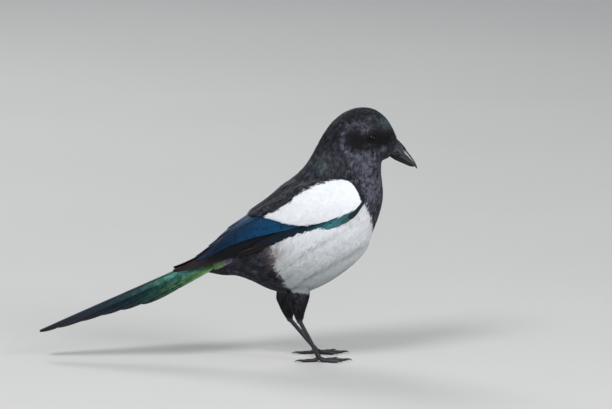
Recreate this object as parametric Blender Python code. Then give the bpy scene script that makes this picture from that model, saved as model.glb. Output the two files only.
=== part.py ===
"""Eurasian magpie, a life-size still model standing on the floor, for Blender 4.5.

The bird faces +X, its left side is +Y and the soles rest on Z = 0. The origin is on the floor
under the middle of the model. The body is one lofted form parted by thin cuts into head, neck
and torso. Each folded wing lies on a curved sheet that is sunk into the side of the torso, and
the tail lies on a roof-shaped sheet. Feathers are vanes laid along those sheets.
"""

import math

import bpy
import bmesh
import numpy as np
from mathutils import Vector

MM = 0.001
GAP = 0.3 * MM
RIGHT = -1
LEFT = 1

# The body's sections from the bill back to the tail, in mm: the top of the section (x, z), its
# foot (x, z), its half width, and the share of the way from top to foot where it is widest.
BODY_SECTIONS = (
    (161.4, 211.5, 154.3, 194.2, 6.6, 0.50),
    (156.8, 222.1, 151.5, 193.0, 12.4, 0.54),
    (150.0, 232.3, 149.0, 192.0, 16.4, 0.55),
    (139.6, 239.7, 147.0, 190.5, 18.8, 0.56),
    (127.2, 241.6, 146.2, 186.0, 20.4, 0.56),
    (112.9, 237.8, 146.2, 179.0, 21.6, 0.54),
    (100.6, 228.4, 147.1, 170.5, 23.0, 0.52),
    (91.1, 215.4, 147.9, 161.0, 25.0, 0.50),
    (83.5, 201.4, 147.1, 149.8, 28.0, 0.50),
    (75.5, 187.5, 143.8, 137.0, 31.6, 0.50),
    (66.4, 177.6, 138.1, 121.8, 35.0, 0.50),
    (54.0, 167.6, 131.8, 104.2, 37.8, 0.50),
    (42.0, 157.5, 118.6, 83.6, 39.4, 0.50),
    (33.1, 146.4, 95.8, 69.8, 39.0, 0.50),
    (26.5, 134.0, 69.0, 63.0, 35.6, 0.50),
    (17.5, 122.6, 43.5, 66.2, 29.5, 0.50),
    (7.5, 114.0, 23.0, 75.6, 23.0, 0.50),
    (-2.0, 107.6, 8.5, 80.3, 17.0, 0.50),
    (-8.0, 103.0, -3.0, 80.4, 12.5, 0.50),
    (-14.5, 97.0, -12.0, 82.0, 7.5, 0.50),
)
NECK_FRONT = 5.3
NECK_BACK = 8.2
TORSO_BACK = 14.0
VENT_BACK = 17.0
UNDERTAIL_BACK = 19.0
BODY_SIDES = 26
# The lower edge of the black bib on the breast, and of the black back over the wings, as two
# points (x, z) each.
BIB_EDGE = ((128.0, 156.0), (138.0, 121.5))
MANTLE_EDGE = ((112.0, 178.0), (20.0, 118.0))

# Swellings and hollows of the face, in mm: centre (x, z), radius, and push outwards.
FACE_RELIEF = (
    (140.5, 221.5, 7.0, 1.0),
    (150.0, 209.0, 6.5, -1.6),
    (137.5, 215.0, 6.5, -1.1),
    (128.0, 204.0, 12.0, 1.3),
)

EYE_CENTRE = (137.6, 15.9, 214.8)
EYE_RADIUS = 5.0
EYE_AXIS = (0.22, 0.97, 0.08)
LID_RING_RADIUS = 4.35
LID_THICKNESS = 0.75

# Bill sections from the face to the tip, in mm: top (x, z), foot (x, z), half width, and the
# share of the way down where it is widest, which keeps the two halves flat along the mouth.
UPPER_BILL = (
    (161.3, 210.3, 156.4, 198.4, 5.6, 0.90),
    (166.0, 205.4, 160.6, 195.9, 5.0, 0.90),
    (170.6, 200.2, 165.2, 193.4, 4.2, 0.90),
    (174.5, 195.2, 169.9, 190.6, 3.2, 0.90),
    (177.6, 190.6, 174.4, 187.5, 2.1, 0.85),
    (179.7, 186.6, 177.9, 185.1, 1.1, 0.75),
    (180.6, 183.4, 180.0, 182.9, 0.4, 0.50),
)
LOWER_BILL = (
    (156.2, 198.1, 154.9, 194.4, 4.9, 0.10),
    (159.9, 195.7, 159.0, 191.6, 4.4, 0.10),
    (164.5, 193.1, 163.9, 189.3, 3.7, 0.10),
    (169.3, 190.25, 169.0, 187.1, 2.8, 0.10),
    (173.7, 187.2, 173.6, 185.2, 1.8, 0.15),
    (176.7, 185.2, 176.6, 184.3, 0.7, 0.50),
)
MOUTH_CORNER = (148.5, 201.6)
MOUTH_SLOT = 0.5
# Bristles over the bill's base: root and tip along the bill, angle from its top, half width.
BRISTLES = (
    (-0.55, 1.45, 0.30, 1.5),
    (-0.55, 1.15, 0.85, 1.6),
    (-0.60, 0.80, 1.35, 1.5),
    (-0.60, 0.45, 1.85, 1.3),
)
NOSTRIL = (163.3, 202.6)
NOSTRIL_RADIUS = 0.9

# The folded wing's sheet from its bend back to the tip, in mm: upper edge (x, y, z), lower edge
# (x, y, z) and how far the sheet bulges outwards between them. The y is the distance from the
# bird's middle plane.
WING_STATIONS = (
    (117.0, 23.5, 175.5, 129.0, 27.0, 155.4, 2.0),
    (98.0, 23.0, 175.5, 112.0, 32.5, 141.0, 3.5),
    (79.0, 22.0, 171.5, 87.0, 34.5, 130.7, 5.0),
    (60.0, 18.0, 162.0, 65.0, 33.5, 122.3, 6.8),
    (41.0, 12.0, 149.0, 43.0, 31.0, 114.4, 7.8),
    (22.0, 6.5, 135.5, 22.0, 26.0, 106.8, 7.8),
    (3.0, 5.0, 120.5, 3.0, 20.5, 101.0, 6.3),
    (-15.0, 4.5, 103.8, -14.0, 15.0, 94.8, 4.0),
    (-35.0, 5.0, 92.0, -33.0, 10.5, 88.8, 1.5),
    (-52.0, 6.5, 85.8, -52.0, 8.0, 84.2, 0.5),
)
# The grid, along and across, on which every plate and pocket of the wing sheet is made.
WING_GRID = (tuple(i * 0.08 - 0.02 for i in range(11)), (-0.03, 0.19, 0.41, 0.63, 0.85, 1.04))
# How far a plate's rim stays inside its pocket's, along and across.
WING_INSET = (0.005, 0.016)

TAIL_ROOT = (-2.0, 106.0)
TAIL_SLOPE = math.radians(24.1)
TAIL_ROOF = math.radians(24.0)
TAIL_TWIST = math.radians(11.0)
TAIL_RIDGE_ROUNDING = 4.0
TAIL_LENGTH = 194.0
TAIL_CORE = (-4.6, 0.5)
# How much of the longest pair each pair of tail feathers has, from the middle pair outwards.
TAIL_STEPS = (1.0, 0.915, 0.80, 0.69, 0.59, 0.485)

VANE_THICKNESS = 0.6
FLIGHT_THICKNESS = 0.7
LONG_VANE_STOPS = (0.0, 0.35, 0.7, 0.92, 1.0)
SHORT_VANE_STOPS = (0.0, 0.4, 0.8, 1.0)

# Heights over the wing sheet, in mm, of each layer's core plate and of its vanes at root and tip.
PRIMARY_CORE = (0.1, 1.7)
PRIMARY_LIFT = (0.9, 1.3)
PRIMARY_COVERT_LIFT = (1.2, 1.9)
SECONDARY_CORE = (2.65, 4.2)
SECONDARY_LIFT = (3.4, 3.75)
COVERT_LIFT = (3.85, 4.8)
SCAPULAR_CORE = (5.65, 6.65)
SCAPULAR_LIFT = (6.3, 7.15)
# Flight feathers from the lowest upwards: share of the wing's length at the tip, and across there.
PRIMARY_TIPS = ((0.80, 0.93), (0.88, 0.88), (0.95, 0.78), (0.995, 0.58), (0.965, 0.42),
                (0.92, 0.32))
SECONDARY_TIPS = ((0.86, 0.42), (0.83, 0.34), (0.80, 0.28), (0.765, 0.23), (0.72, 0.19),
                  (0.67, 0.16))
PRIMARY_COVERTS = ((0.14, 0.84, 0.40, 0.90), (0.18, 0.88, 0.47, 0.94), (0.24, 0.90, 0.54, 0.96))
COVERTS = 6
# Scapular rows: across at the root, first root along, number of feathers.
SCAPULAR_ROWS = ((0.80, 0.005, 3), (0.56, 0.010, 3), (0.33, 0.020, 3), (0.11, 0.030, 3))
SCAPULAR_STEP = 0.11
SCAPULAR_LENGTH = 0.19
SCAPULAR_TIP_ACROSS = 0.16

# Each leg, in mm: the feathered thigh as (x, z, radius, distance from the middle plane), the toe
# root as (x, z), and how far the foot is turned outwards, in degrees.
LEG_SIDE = 20.0
LEGS = {
    "right": {
        "thigh": ((70.0, 82.0, 13.0, 15.0), (68.4, 72.0, 12.4, 16.0), (67.4, 62.0, 10.6, 18.0),
                  (67.8, 54.5, 8.0, 19.5), (68.2, 46.5, 5.1, 20.0), (68.6, 41.5, 3.7, 20.0)),
        "toe_root": (87.3, 4.0),
        "turn": -6.0,
    },
    "left": {
        "thigh": ((62.0, 82.0, 13.0, 15.0), (59.0, 68.0, 12.4, 16.5), (57.0, 55.5, 10.4, 19.0),
                  (57.0, 47.5, 7.8, 19.8), (58.0, 39.5, 5.0, 20.0), (58.8, 35.8, 3.7, 20.0)),
        "toe_root": (84.5, 4.0),
        "turn": 8.0,
    },
}
SHANK_RADIUS = 1.9
SCUTES = 6
# Toes in mm and degrees: heading from straight ahead, outwards positive, toe length, claw length.
TOES = (
    ("hind", 178.0, 14.5, 9.5),
    ("inner", -30.0, 16.5, 7.0),
    ("middle", -2.0, 24.0, 8.5),
    ("outer", 27.0, 17.5, 7.0),
)
TOE_RADIUS = 2.0

# Colours (linear), roughness and metallic value of each finish.
FINISHES = {
    "black_plumage": ((0.012, 0.012, 0.018), 0.42, 0.0),
    "white_plumage": ((0.82, 0.83, 0.84), 0.75, 0.0),
    "blue_flight_feathers": ((0.012, 0.055, 0.14), 0.35, 0.4),
    "dark_flight_feathers": ((0.018, 0.018, 0.02), 0.45, 0.0),
    "green_tail_feathers": ((0.02, 0.10, 0.085), 0.35, 0.4),
    "bill_horn": ((0.022, 0.022, 0.025), 0.25, 0.0),
    "leg_skin": ((0.02, 0.02, 0.024), 0.45, 0.0),
    "claw_horn": ((0.012, 0.012, 0.014), 0.3, 0.0),
    "eye_gloss": ((0.012, 0.007, 0.005), 0.06, 0.0),
}


def clear_scene():
    """Removes every object that the file starts with."""
    for obj in list(bpy.data.objects):
        bpy.data.objects.remove(obj, do_unlink=True)


def finish(name):
    """The material of that name from FINISHES, made once."""
    if name in bpy.data.materials:
        return bpy.data.materials[name]
    colour, roughness, metallic = FINISHES[name]
    material = bpy.data.materials.new(name)
    material.use_nodes = True
    shader = material.node_tree.nodes["Principled BSDF"]
    shader.inputs["Base Color"].default_value = (*colour, 1.0)
    shader.inputs["Roughness"].default_value = roughness
    shader.inputs["Metallic"].default_value = metallic
    material.diffuse_color = (*colour, 1.0)
    return material


def solid(name, points, faces, material=None):
    """An object from points in mm and faces, closed and facing out."""
    mesh = bpy.data.meshes.new(name)
    mesh.from_pydata([tuple(p) for p in np.asarray(points) * MM], [], faces)
    shape = bmesh.new()
    shape.from_mesh(mesh)
    bmesh.ops.recalc_face_normals(shape, faces=shape.faces)
    shape.to_mesh(mesh)
    shape.free()
    if material:
        mesh.materials.append(finish(material))
    obj = bpy.data.objects.new(name, mesh)
    bpy.context.scene.collection.objects.link(obj)
    return obj


def smooth(obj, angle=40.0):
    """Shades a finished node smooth, with sharp edges past the angle in degrees."""
    obj.data.shade_smooth()
    obj.data.set_sharp_from_angle(angle=math.radians(angle))


def apply_modifiers(obj):
    """Replaces an object's mesh by what its modifiers make of it."""
    bpy.context.view_layer.update()
    graph = bpy.context.evaluated_depsgraph_get()
    made = bpy.data.meshes.new_from_object(obj.evaluated_get(graph))
    obj.modifiers.clear()
    obj.data = made


def keep_largest(obj):
    """Keeps only the largest closed surface of an object, by volume."""
    shape = bmesh.new()
    shape.from_mesh(obj.data)
    unseen = set(shape.verts)
    groups = []
    while unseen:
        stack = [unseen.pop()]
        group = set(stack)
        while stack:
            for edge in stack.pop().link_edges:
                for vert in edge.verts:
                    if vert in unseen:
                        unseen.discard(vert)
                        group.add(vert)
                        stack.append(vert)
        groups.append(group)
    if len(groups) > 1:
        def size(group):
            part = {face for vert in group for face in vert.link_faces}
            return abs(sum(volume_of(face) for face in part))
        largest = max(groups, key=size)
        spare = [vert for group in groups if group is not largest for vert in group]
        bmesh.ops.delete(shape, geom=spare, context="VERTS")
    shape.to_mesh(obj.data)
    shape.free()


def volume_of(face):
    """Signed volume between a face and the origin."""
    first = face.verts[0].co
    total = 0.0
    for one, two in zip(face.verts[1:], face.verts[2:]):
        total += first.dot(one.co.cross(two.co)) / 6.0
    return total


def fuse(name, pieces, material, solver="EXACT"):
    """Joins closed pieces that overlap into one node of that name."""
    base = pieces[0]
    base.name = name
    base.data.name = name
    if len(pieces) > 1:
        others = bpy.data.collections.new(name + "_pieces")
        bpy.context.scene.collection.children.link(others)
        for piece in pieces[1:]:
            bpy.context.scene.collection.objects.unlink(piece)
            others.objects.link(piece)
        union = base.modifiers.new("join", "BOOLEAN")
        union.operation = "UNION"
        union.solver = solver
        union.operand_type = "COLLECTION"
        union.collection = others
        apply_modifiers(base)
        for piece in list(others.objects):
            bpy.data.objects.remove(piece, do_unlink=True)
        bpy.data.collections.remove(others)
        keep_largest(base)
    base.data.materials.clear()
    base.data.materials.append(finish(material))
    smooth(base)
    return base


def carve(obj, cutter, solver="EXACT"):
    """Cuts the closed cutter away from an object and removes the cutter."""
    material = obj.data.materials[0]
    cut = obj.modifiers.new("cut", "BOOLEAN")
    cut.operation = "DIFFERENCE"
    cut.solver = solver
    cut.object = cutter
    apply_modifiers(obj)
    bpy.data.objects.remove(cutter, do_unlink=True)
    keep_largest(obj)
    obj.data.materials.clear()
    obj.data.materials.append(material)
    smooth(obj)
    return obj


def along(rows, place):
    """Smooth values between rows: place 0 is the first row and 1.0 the second, and so on."""
    rows = np.asarray(rows, float)
    last = len(rows) - 1
    place = np.asarray(place, float)
    start = np.clip(np.floor(place).astype(int), 0, last - 1)
    share = (place - start)[..., None]
    before = rows[np.maximum(start - 1, 0)]
    one, two = rows[start], rows[start + 1]
    after = rows[np.minimum(start + 2, last)]
    leave, arrive = (two - before) / 2, (after - one) / 2
    inside = np.clip(share, 0.0, 1.0)
    curve = (
        one * (1 + 2 * inside) * (1 - inside) ** 2
        + leave * inside * (1 - inside) ** 2
        + two * inside**2 * (3 - 2 * inside)
        + arrive * inside**2 * (inside - 1)
    )
    beyond = share - inside
    return curve + np.where(beyond < 0, leave, arrive) * beyond


def section(rows, place, angles, grow=0.0):
    """Points of a lofted form's section: angle 0 is its top, pi its foot, and y follows the sine."""
    row = along(rows, place)
    top = np.array([row[0], 0.0, row[1]])
    foot = np.array([row[2], 0.0, row[3]])
    half_width = row[4] + grow
    widest = row[5] if len(row) > 5 else 0.5
    down = (foot - top) / np.linalg.norm(foot - top)
    top, foot = top - down * grow, foot + down * grow
    middle = top + (foot - top) * widest
    rise = np.cos(angles)[:, None]
    points = middle + np.where(rise > 0, top - middle, middle - foot) * rise
    points[:, 1] += half_width * np.sin(angles)
    return points


def around(sides):
    """Evenly spaced angles round a section, none of them on the middle plane twice."""
    return np.arange(sides) * 2 * math.pi / sides


def relieved(points):
    """Head points pushed out or in by the face's relief."""
    points = points.copy()
    side = np.sign(points[:, 1]) * np.clip(np.abs(points[:, 1]) / 8.0, 0.0, 1.0)
    for x, z, radius, push in FACE_RELIEF:
        away = (points[:, 0] - x) ** 2 + (points[:, 2] - z) ** 2
        points[:, 1] += side * push * np.exp(-away / radius**2)
    return points


def skinned(rings):
    """Points and faces of a closed form through rings of equal length, with flat ends."""
    sides = len(rings[0])
    faces = []
    for ring in range(len(rings) - 1):
        for side in range(sides):
            a = ring * sides + side
            b = ring * sides + (side + 1) % sides
            faces.append((a, b, b + sides))
            faces.append((a, b + sides, a + sides))
    last = (len(rings) - 1) * sides
    faces.append(tuple(reversed(range(sides))))
    faces.append(tuple(range(last, last + sides)))
    return np.concatenate(rings), faces


def places(start, end, count):
    """Evenly spread places along the body's sections."""
    return np.linspace(start, end, count)


TORSO_PLACES = places(NECK_BACK, TORSO_BACK, 15)
VENT_PLACES = places(TORSO_BACK, VENT_BACK, 8)


def body_length(name, where, material, gap_at_start=True, grow=0.0):
    """One length of the body through the given places along its sections."""
    angles = around(BODY_SIDES)
    rings = [relieved(section(BODY_SECTIONS, place, angles, grow)) for place in where]
    if gap_at_start:
        first = rings[0]
        normal = np.cross(first[BODY_SIDES // 4] - first[0], first[BODY_SIDES // 2] - first[0])
        normal /= np.linalg.norm(normal)
        inward = rings[1].mean(axis=0) - first.mean(axis=0)
        normal *= np.sign(normal @ inward)
        rings[0] = first + normal * GAP / MM
    return solid(name, *skinned(rings), material)


def body_cutter():
    """The body behind the neck grown by the gap, to cut what grows from it."""
    where = np.concatenate([TORSO_PLACES, VENT_PLACES[1:], [VENT_BACK + 0.045]])
    return body_length("body_cutter", where, None, gap_at_start=False, grow=1.7 * GAP / MM)


def wing_plate(name, side, along_from, along_to, across_from, across_to, lifts):
    """A closed plate between lines of the wing's grid and two heights over its sheet."""
    lengths = list(WING_GRID[0][along_from:along_to + 1])
    widths = list(WING_GRID[1][across_from:across_to + 1])
    if name == "core":
        lengths[0] += WING_INSET[0]
        widths[0] += WING_INSET[1]
        widths[-1] -= WING_INSET[1]
    return pad(name, wing_sheet(side), outward_of(side), lengths, widths, lifts)


def wing_pocket(side):
    """What one folded wing needs cut from the body's side."""
    return wing_plate("wing_pocket", side, 0, 10, 0, 5, (-GAP / MM, 26.0))


def paint(obj, material, edge, above):
    """Gives the faces of a node that lie on one side of a line in the XZ plane a second finish."""
    (x1, z1), (x2, z2) = edge
    obj.data.materials.append(finish(material))
    for face in obj.data.polygons:
        x, z = face.center.x / MM, face.center.z / MM
        turn = (x2 - x1) * (z - z1) - (z2 - z1) * (x - x1)
        if turn * above > 0:
            face.material_index = len(obj.data.materials) - 1


def ball(name, centre, radius, segments=16, rings=10):
    """A closed sphere in mm."""
    shape = bmesh.new()
    bmesh.ops.create_uvsphere(shape, u_segments=segments, v_segments=rings, radius=radius * MM)
    bmesh.ops.translate(shape, verts=shape.verts, vec=Vector(centre) * MM)
    mesh = bpy.data.meshes.new(name)
    shape.to_mesh(mesh)
    shape.free()
    obj = bpy.data.objects.new(name, mesh)
    bpy.context.scene.collection.objects.link(obj)
    return obj


def tube(name, centres, radii, sides, material=None, flat_at_floor=False):
    """A closed tube through centres with a radius at each, its ends flat."""
    centres = np.asarray(centres, float)
    rings = []
    side = None
    for i, centre in enumerate(centres):
        ahead = centres[min(i + 1, len(centres) - 1)] - centres[max(i - 1, 0)]
        ahead /= np.linalg.norm(ahead)
        if side is None:
            side = np.cross(ahead, (0.0, 1.0, 0.0))
        side = side - ahead * (side @ ahead)
        side /= np.linalg.norm(side)
        up = np.cross(ahead, side)
        angles = around(sides)
        ring = centre + radii[i] * (
            np.cos(angles)[:, None] * side + np.sin(angles)[:, None] * up
        )
        if flat_at_floor:
            ring[:, 2] = np.maximum(ring[:, 2], 0.0)
        rings.append(ring)
    return solid(name, *skinned(rings), material)


def wing_sheet(side):
    """The folded wing's sheet as a function: 0 to 1 from bend to tip, 0 to 1 from top to foot."""
    last = len(WING_STATIONS) - 1

    def sheet(lengthwise, across):
        row = along(WING_STATIONS, np.asarray(lengthwise, float) * last)
        upper, lower, bulge = row[..., 0:3], row[..., 3:6], row[..., 6:7]
        across = np.asarray(across, float)[..., None]
        chord = lower - upper
        out = np.stack([np.zeros(chord.shape[:-1]), -chord[..., 2], chord[..., 1]], axis=-1)
        out /= np.linalg.norm(out, axis=-1, keepdims=True)
        point = upper + chord * across + out * bulge * 4 * across * (1 - across)
        return point * (1.0, side, 1.0)

    return sheet


def tail_sheet(lengthwise, across):
    """The tail's roof: mm back from its root, and mm sideways over the roof, left positive."""
    lengthwise = np.asarray(lengthwise, float)
    across = np.asarray(across, float)
    reach = np.sqrt(across**2 + TAIL_RIDGE_ROUNDING**2) - TAIL_RIDGE_ROUNDING
    sideways = across * math.cos(TAIL_ROOF)
    down = reach * math.sin(TAIL_ROOF)
    turned_side = sideways * math.cos(TAIL_TWIST) + down * math.sin(TAIL_TWIST)
    turned_down = down * math.cos(TAIL_TWIST) - sideways * math.sin(TAIL_TWIST)
    back, fall = math.cos(TAIL_SLOPE), math.sin(TAIL_SLOPE)
    x = TAIL_ROOT[0] - lengthwise * back + turned_down * fall
    z = TAIL_ROOT[1] - lengthwise * fall - turned_down * back
    return np.stack([x, turned_side, z], axis=-1)


def bill_sheet(lengthwise, angle):
    """The upper bill's surface: 0 is the face, 1 the second section, and the angle from its top."""
    row = along(UPPER_BILL, lengthwise)
    top = np.stack([row[..., 0], np.zeros(row.shape[:-1]), row[..., 1]], axis=-1)
    foot = np.stack([row[..., 2], np.zeros(row.shape[:-1]), row[..., 3]], axis=-1)
    angle = np.asarray(angle, float)[..., None]
    point = (top + foot) / 2 + (top - foot) / 2 * np.cos(angle)
    return point + row[..., 4:5] * np.sin(angle) * np.array([0.0, 1.0, 0.0])


def frame_of(sheet, lengthwise, across, outward):
    """Point, both slopes and the outward normal of a sheet."""
    step = 1e-3
    point = sheet(lengthwise, across)
    slope = (sheet(lengthwise + step, across) - sheet(lengthwise - step, across)) / (2 * step)
    cross = (sheet(lengthwise, across + step) - sheet(lengthwise, across - step)) / (2 * step)
    normal = np.cross(slope, cross)
    normal /= np.linalg.norm(normal, axis=-1, keepdims=True)
    return point, slope, cross, normal * outward


def raised(sheet, lengthwise, across, lift, outward):
    """A sheet's points raised along its outward normal."""
    point, _, _, normal = frame_of(sheet, lengthwise, across, outward)
    return point + normal * np.asarray(lift, float)[..., None]


def vane(sheet, outward, root, tip, half_widths, lifts, tilt=0.0, bow=0.0,
         stops=SHORT_VANE_STOPS, thickness=VANE_THICKNESS):
    """One feather vane laid along a sheet.

    root and tip are sheet coordinates, half_widths its width towards lower and higher across, in
    mm, lifts its height over the sheet at root and tip, and tilt how much higher each mm across
    lies. Both faces are split into triangles alike.
    """
    stops = np.asarray(stops, float)
    shape = np.minimum(1.0, 0.45 + 2.2 * stops)
    shape = shape * np.sqrt(np.clip(1 - (np.clip(stops - 0.7, 0, 1) / 0.305) ** 2, 0.03, 1))
    length = root[0] + (tip[0] - root[0]) * stops
    across = root[1] + (tip[1] - root[1]) * stops + bow * np.sin(math.pi * stops)
    _, slope, cross, normal = frame_of(sheet, length, across, outward)
    ahead = slope * (tip[0] - root[0]) + cross * (
        (tip[1] - root[1]) + bow * math.pi * np.cos(math.pi * stops)
    )[:, None]
    sideways = np.cross(normal, ahead)
    sideways /= np.linalg.norm(sideways, axis=1, keepdims=True)
    sideways *= np.sign(np.sum(sideways * cross, axis=1, keepdims=True))
    lift = lifts[0] + (lifts[1] - lifts[0]) * stops
    moves = [
        np.linalg.lstsq(np.stack([a, b], axis=1), c, rcond=None)[0]
        for a, b, c in zip(slope, cross, sideways)
    ]
    moves = np.array(moves)
    rows = []
    for face in (0.5, -0.5):
        for offset in (-half_widths[0] * shape, half_widths[1] * shape):
            height = lift + tilt * offset + face * thickness
            to = moves * offset[:, None]
            rows.append(raised(sheet, length + to[:, 0], across + to[:, 1], height, outward))
    upper_top, lower_top, upper_low, lower_low = rows
    rings = np.stack([upper_top, lower_top, lower_low, upper_low], axis=1)
    last = 4 * (len(stops) - 1)
    faces = [(0, 1, 2, 3), (last, last + 3, last + 2, last + 1)]
    for a in range(0, last, 4):
        b = a + 4
        faces += [(a, a + 1, b + 1), (a, b + 1, b), (a + 2, b + 2, b + 3), (a + 2, b + 3, a + 3)]
        faces += [(a + 1, a + 2, b + 2), (a + 1, b + 2, b + 1), (a + 3, a, b), (a + 3, b, b + 3)]
    return solid("vane", rings.reshape(-1, 3), faces)


def pad(name, sheet, outward, lengths, widths, lifts):
    """A closed plate on a sheet over a grid of lengths and widths, between two heights."""
    count, rows = len(lengths), len(widths)
    length, across = np.meshgrid(np.asarray(lengths), np.asarray(widths), indexing="ij")
    top = raised(sheet, length, across, np.full(length.shape, lifts[1]), outward)
    low = raised(sheet, length, across, np.full(length.shape, lifts[0]), outward)
    points = np.concatenate([top.reshape(-1, 3), low.reshape(-1, 3)])
    size = count * rows
    faces = []
    for i in range(count - 1):
        for j in range(rows - 1):
            a, b, c, d = i * rows + j, i * rows + j + 1, (i + 1) * rows + j + 1, (i + 1) * rows + j
            faces += [(a, b, c), (a, c, d)]
            faces += [(a + size, c + size, b + size), (a + size, d + size, c + size)]
    border = [i * rows for i in range(count)]
    border += [(count - 1) * rows + j for j in range(1, rows)]
    border += [i * rows + rows - 1 for i in range(count - 2, -1, -1)]
    border += [j for j in range(rows - 2, 0, -1)]
    for one, two in zip(border, border[1:] + border[:1]):
        faces += [(one, two, two + size), (one, two + size, one + size)]
    return solid(name, points, faces)


def wing_turn():
    """Which way the left wing sheet's slopes cross: 1 if their product points outwards."""
    _, _, _, normal = frame_of(wing_sheet(LEFT), np.array([0.3]), np.array([0.5]), 1)
    return 1 if normal[0, 1] > 0 else -1


def outward_of(side):
    """The sign that turns a wing sheet's normal outwards."""
    return side * wing_turn() * side * (1 if side == LEFT else -1)


def make_trunk():
    """Neck, torso and vent, hollowed where the wings lie, and the coverts under the tail."""
    neck = body_length("neck", places(NECK_FRONT, NECK_BACK, 6), "black_plumage")
    torso = body_length("torso", TORSO_PLACES, "white_plumage")
    vent = body_length("vent", VENT_PLACES, "black_plumage")
    for length in (neck, torso, vent):
        for side in (LEFT, RIGHT):
            carve(length, wing_pocket(side))
    paint(torso, "black_plumage", BIB_EDGE, 1)
    paint(torso, "black_plumage", MANTLE_EDGE, -1)
    undertail = body_length(
        "undertail_coverts", places(VENT_BACK, UNDERTAIL_BACK, 5), "black_plumage"
    )
    carve(undertail, tail_slab("tail_room", (-5.0, 30.0), 60.0))


def lid_ring(side):
    """A closed ring round the eye for its two lids."""
    axis = Vector(EYE_AXIS)
    axis.y *= side
    axis.normalize()
    centre = Vector((EYE_CENTRE[0], EYE_CENTRE[1] * side, EYE_CENTRE[2])) + axis * 3.5
    first = axis.cross(Vector((0.0, 0.0, 1.0))).normalized()
    second = axis.cross(first)
    turns, sides = 16, 4
    points = []
    for turn in around(turns):
        out = first * math.cos(turn) + second * math.sin(turn)
        for angle in around(sides):
            reach = LID_RING_RADIUS + LID_THICKNESS * math.cos(angle)
            points.append(centre + out * reach + axis * (LID_THICKNESS * math.sin(angle)))
    faces = []
    for i in range(turns):
        for j in range(sides):
            a, b = i * sides + j, i * sides + (j + 1) % sides
            c = (i + 1) % turns * sides + (j + 1) % sides
            d = (i + 1) % turns * sides + j
            faces.append((a, b, c, d))
    return solid("lid_ring", points, faces)


def make_head():
    """The head with its lids, mouth corners and the bristles over the bill."""
    pieces = [
        body_length("head", places(0.0, NECK_FRONT, 14), "black_plumage", gap_at_start=False)
    ]
    turn = bristle_turn()
    for side in (LEFT, RIGHT):
        pieces.append(lid_ring(side))
        for root, tip, angle, half_width in BRISTLES:
            pieces.append(
                vane(
                    bill_sheet, turn, (root, side * angle), (tip, side * angle * 0.95),
                    (half_width, half_width), (0.85, 1.0),
                )
            )
    head = fuse("head", pieces, "black_plumage")
    for side in (LEFT, RIGHT):
        centre = (EYE_CENTRE[0], EYE_CENTRE[1] * side, EYE_CENTRE[2])
        carve(head, ball("eye_socket", centre, EYE_RADIUS + 1.5 * GAP / MM, 16, 8))
    carve(head, mouth_slot())
    return head


def bristle_turn():
    """The sign that turns the bill sheet's normal outwards."""
    _, _, _, normal = frame_of(bill_sheet, np.array([0.5]), np.array([0.0]), 1)
    return 1 if normal[0, 2] > 0 else -1


def mouth_slot():
    """A thin slab that cuts the line of the mouth into the head."""
    corner = np.array([MOUTH_CORNER[0], 0.0, MOUTH_CORNER[1]])
    front = np.array([UPPER_BILL[0][2] + 3.0, 0.0, UPPER_BILL[0][3] - 2.0])
    up = np.array([0.0, 0.0, MOUTH_SLOT / 2])
    points = []
    for y in (-25.0, 25.0):
        for end in (corner, front):
            points += [end - up + (0.0, y, 0.0), end + up + (0.0, y, 0.0)]
    faces = [(0, 1, 3, 2), (4, 6, 7, 5), (0, 4, 5, 1), (2, 3, 7, 6), (0, 2, 6, 4), (1, 5, 7, 3)]
    return solid("mouth_slot", points, faces)


def make_eye(name, side):
    """One eye."""
    centre = (EYE_CENTRE[0], EYE_CENTRE[1] * side, EYE_CENTRE[2])
    eye = ball(name, centre, EYE_RADIUS)
    eye.data.materials.append(finish("eye_gloss"))
    smooth(eye)
    return eye


def make_bill():
    """Both halves of the bill, with a nostril pit on each side."""
    angles = around(16)
    upper = [section(UPPER_BILL, place, angles) for place in np.linspace(0, 6, 10)]
    upper = solid("bill_upper", *skinned(upper), "bill_horn")
    for side in (LEFT, RIGHT):
        place = (NOSTRIL[0], side * 4.6, NOSTRIL[1])
        carve(upper, ball("nostril", place, NOSTRIL_RADIUS, 10, 6))
    lower = [section(LOWER_BILL, place, angles) for place in np.linspace(0, 5, 7)]
    lower = solid("bill_lower", *skinned(lower), "bill_horn")
    smooth(lower)
    return upper, lower


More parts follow.
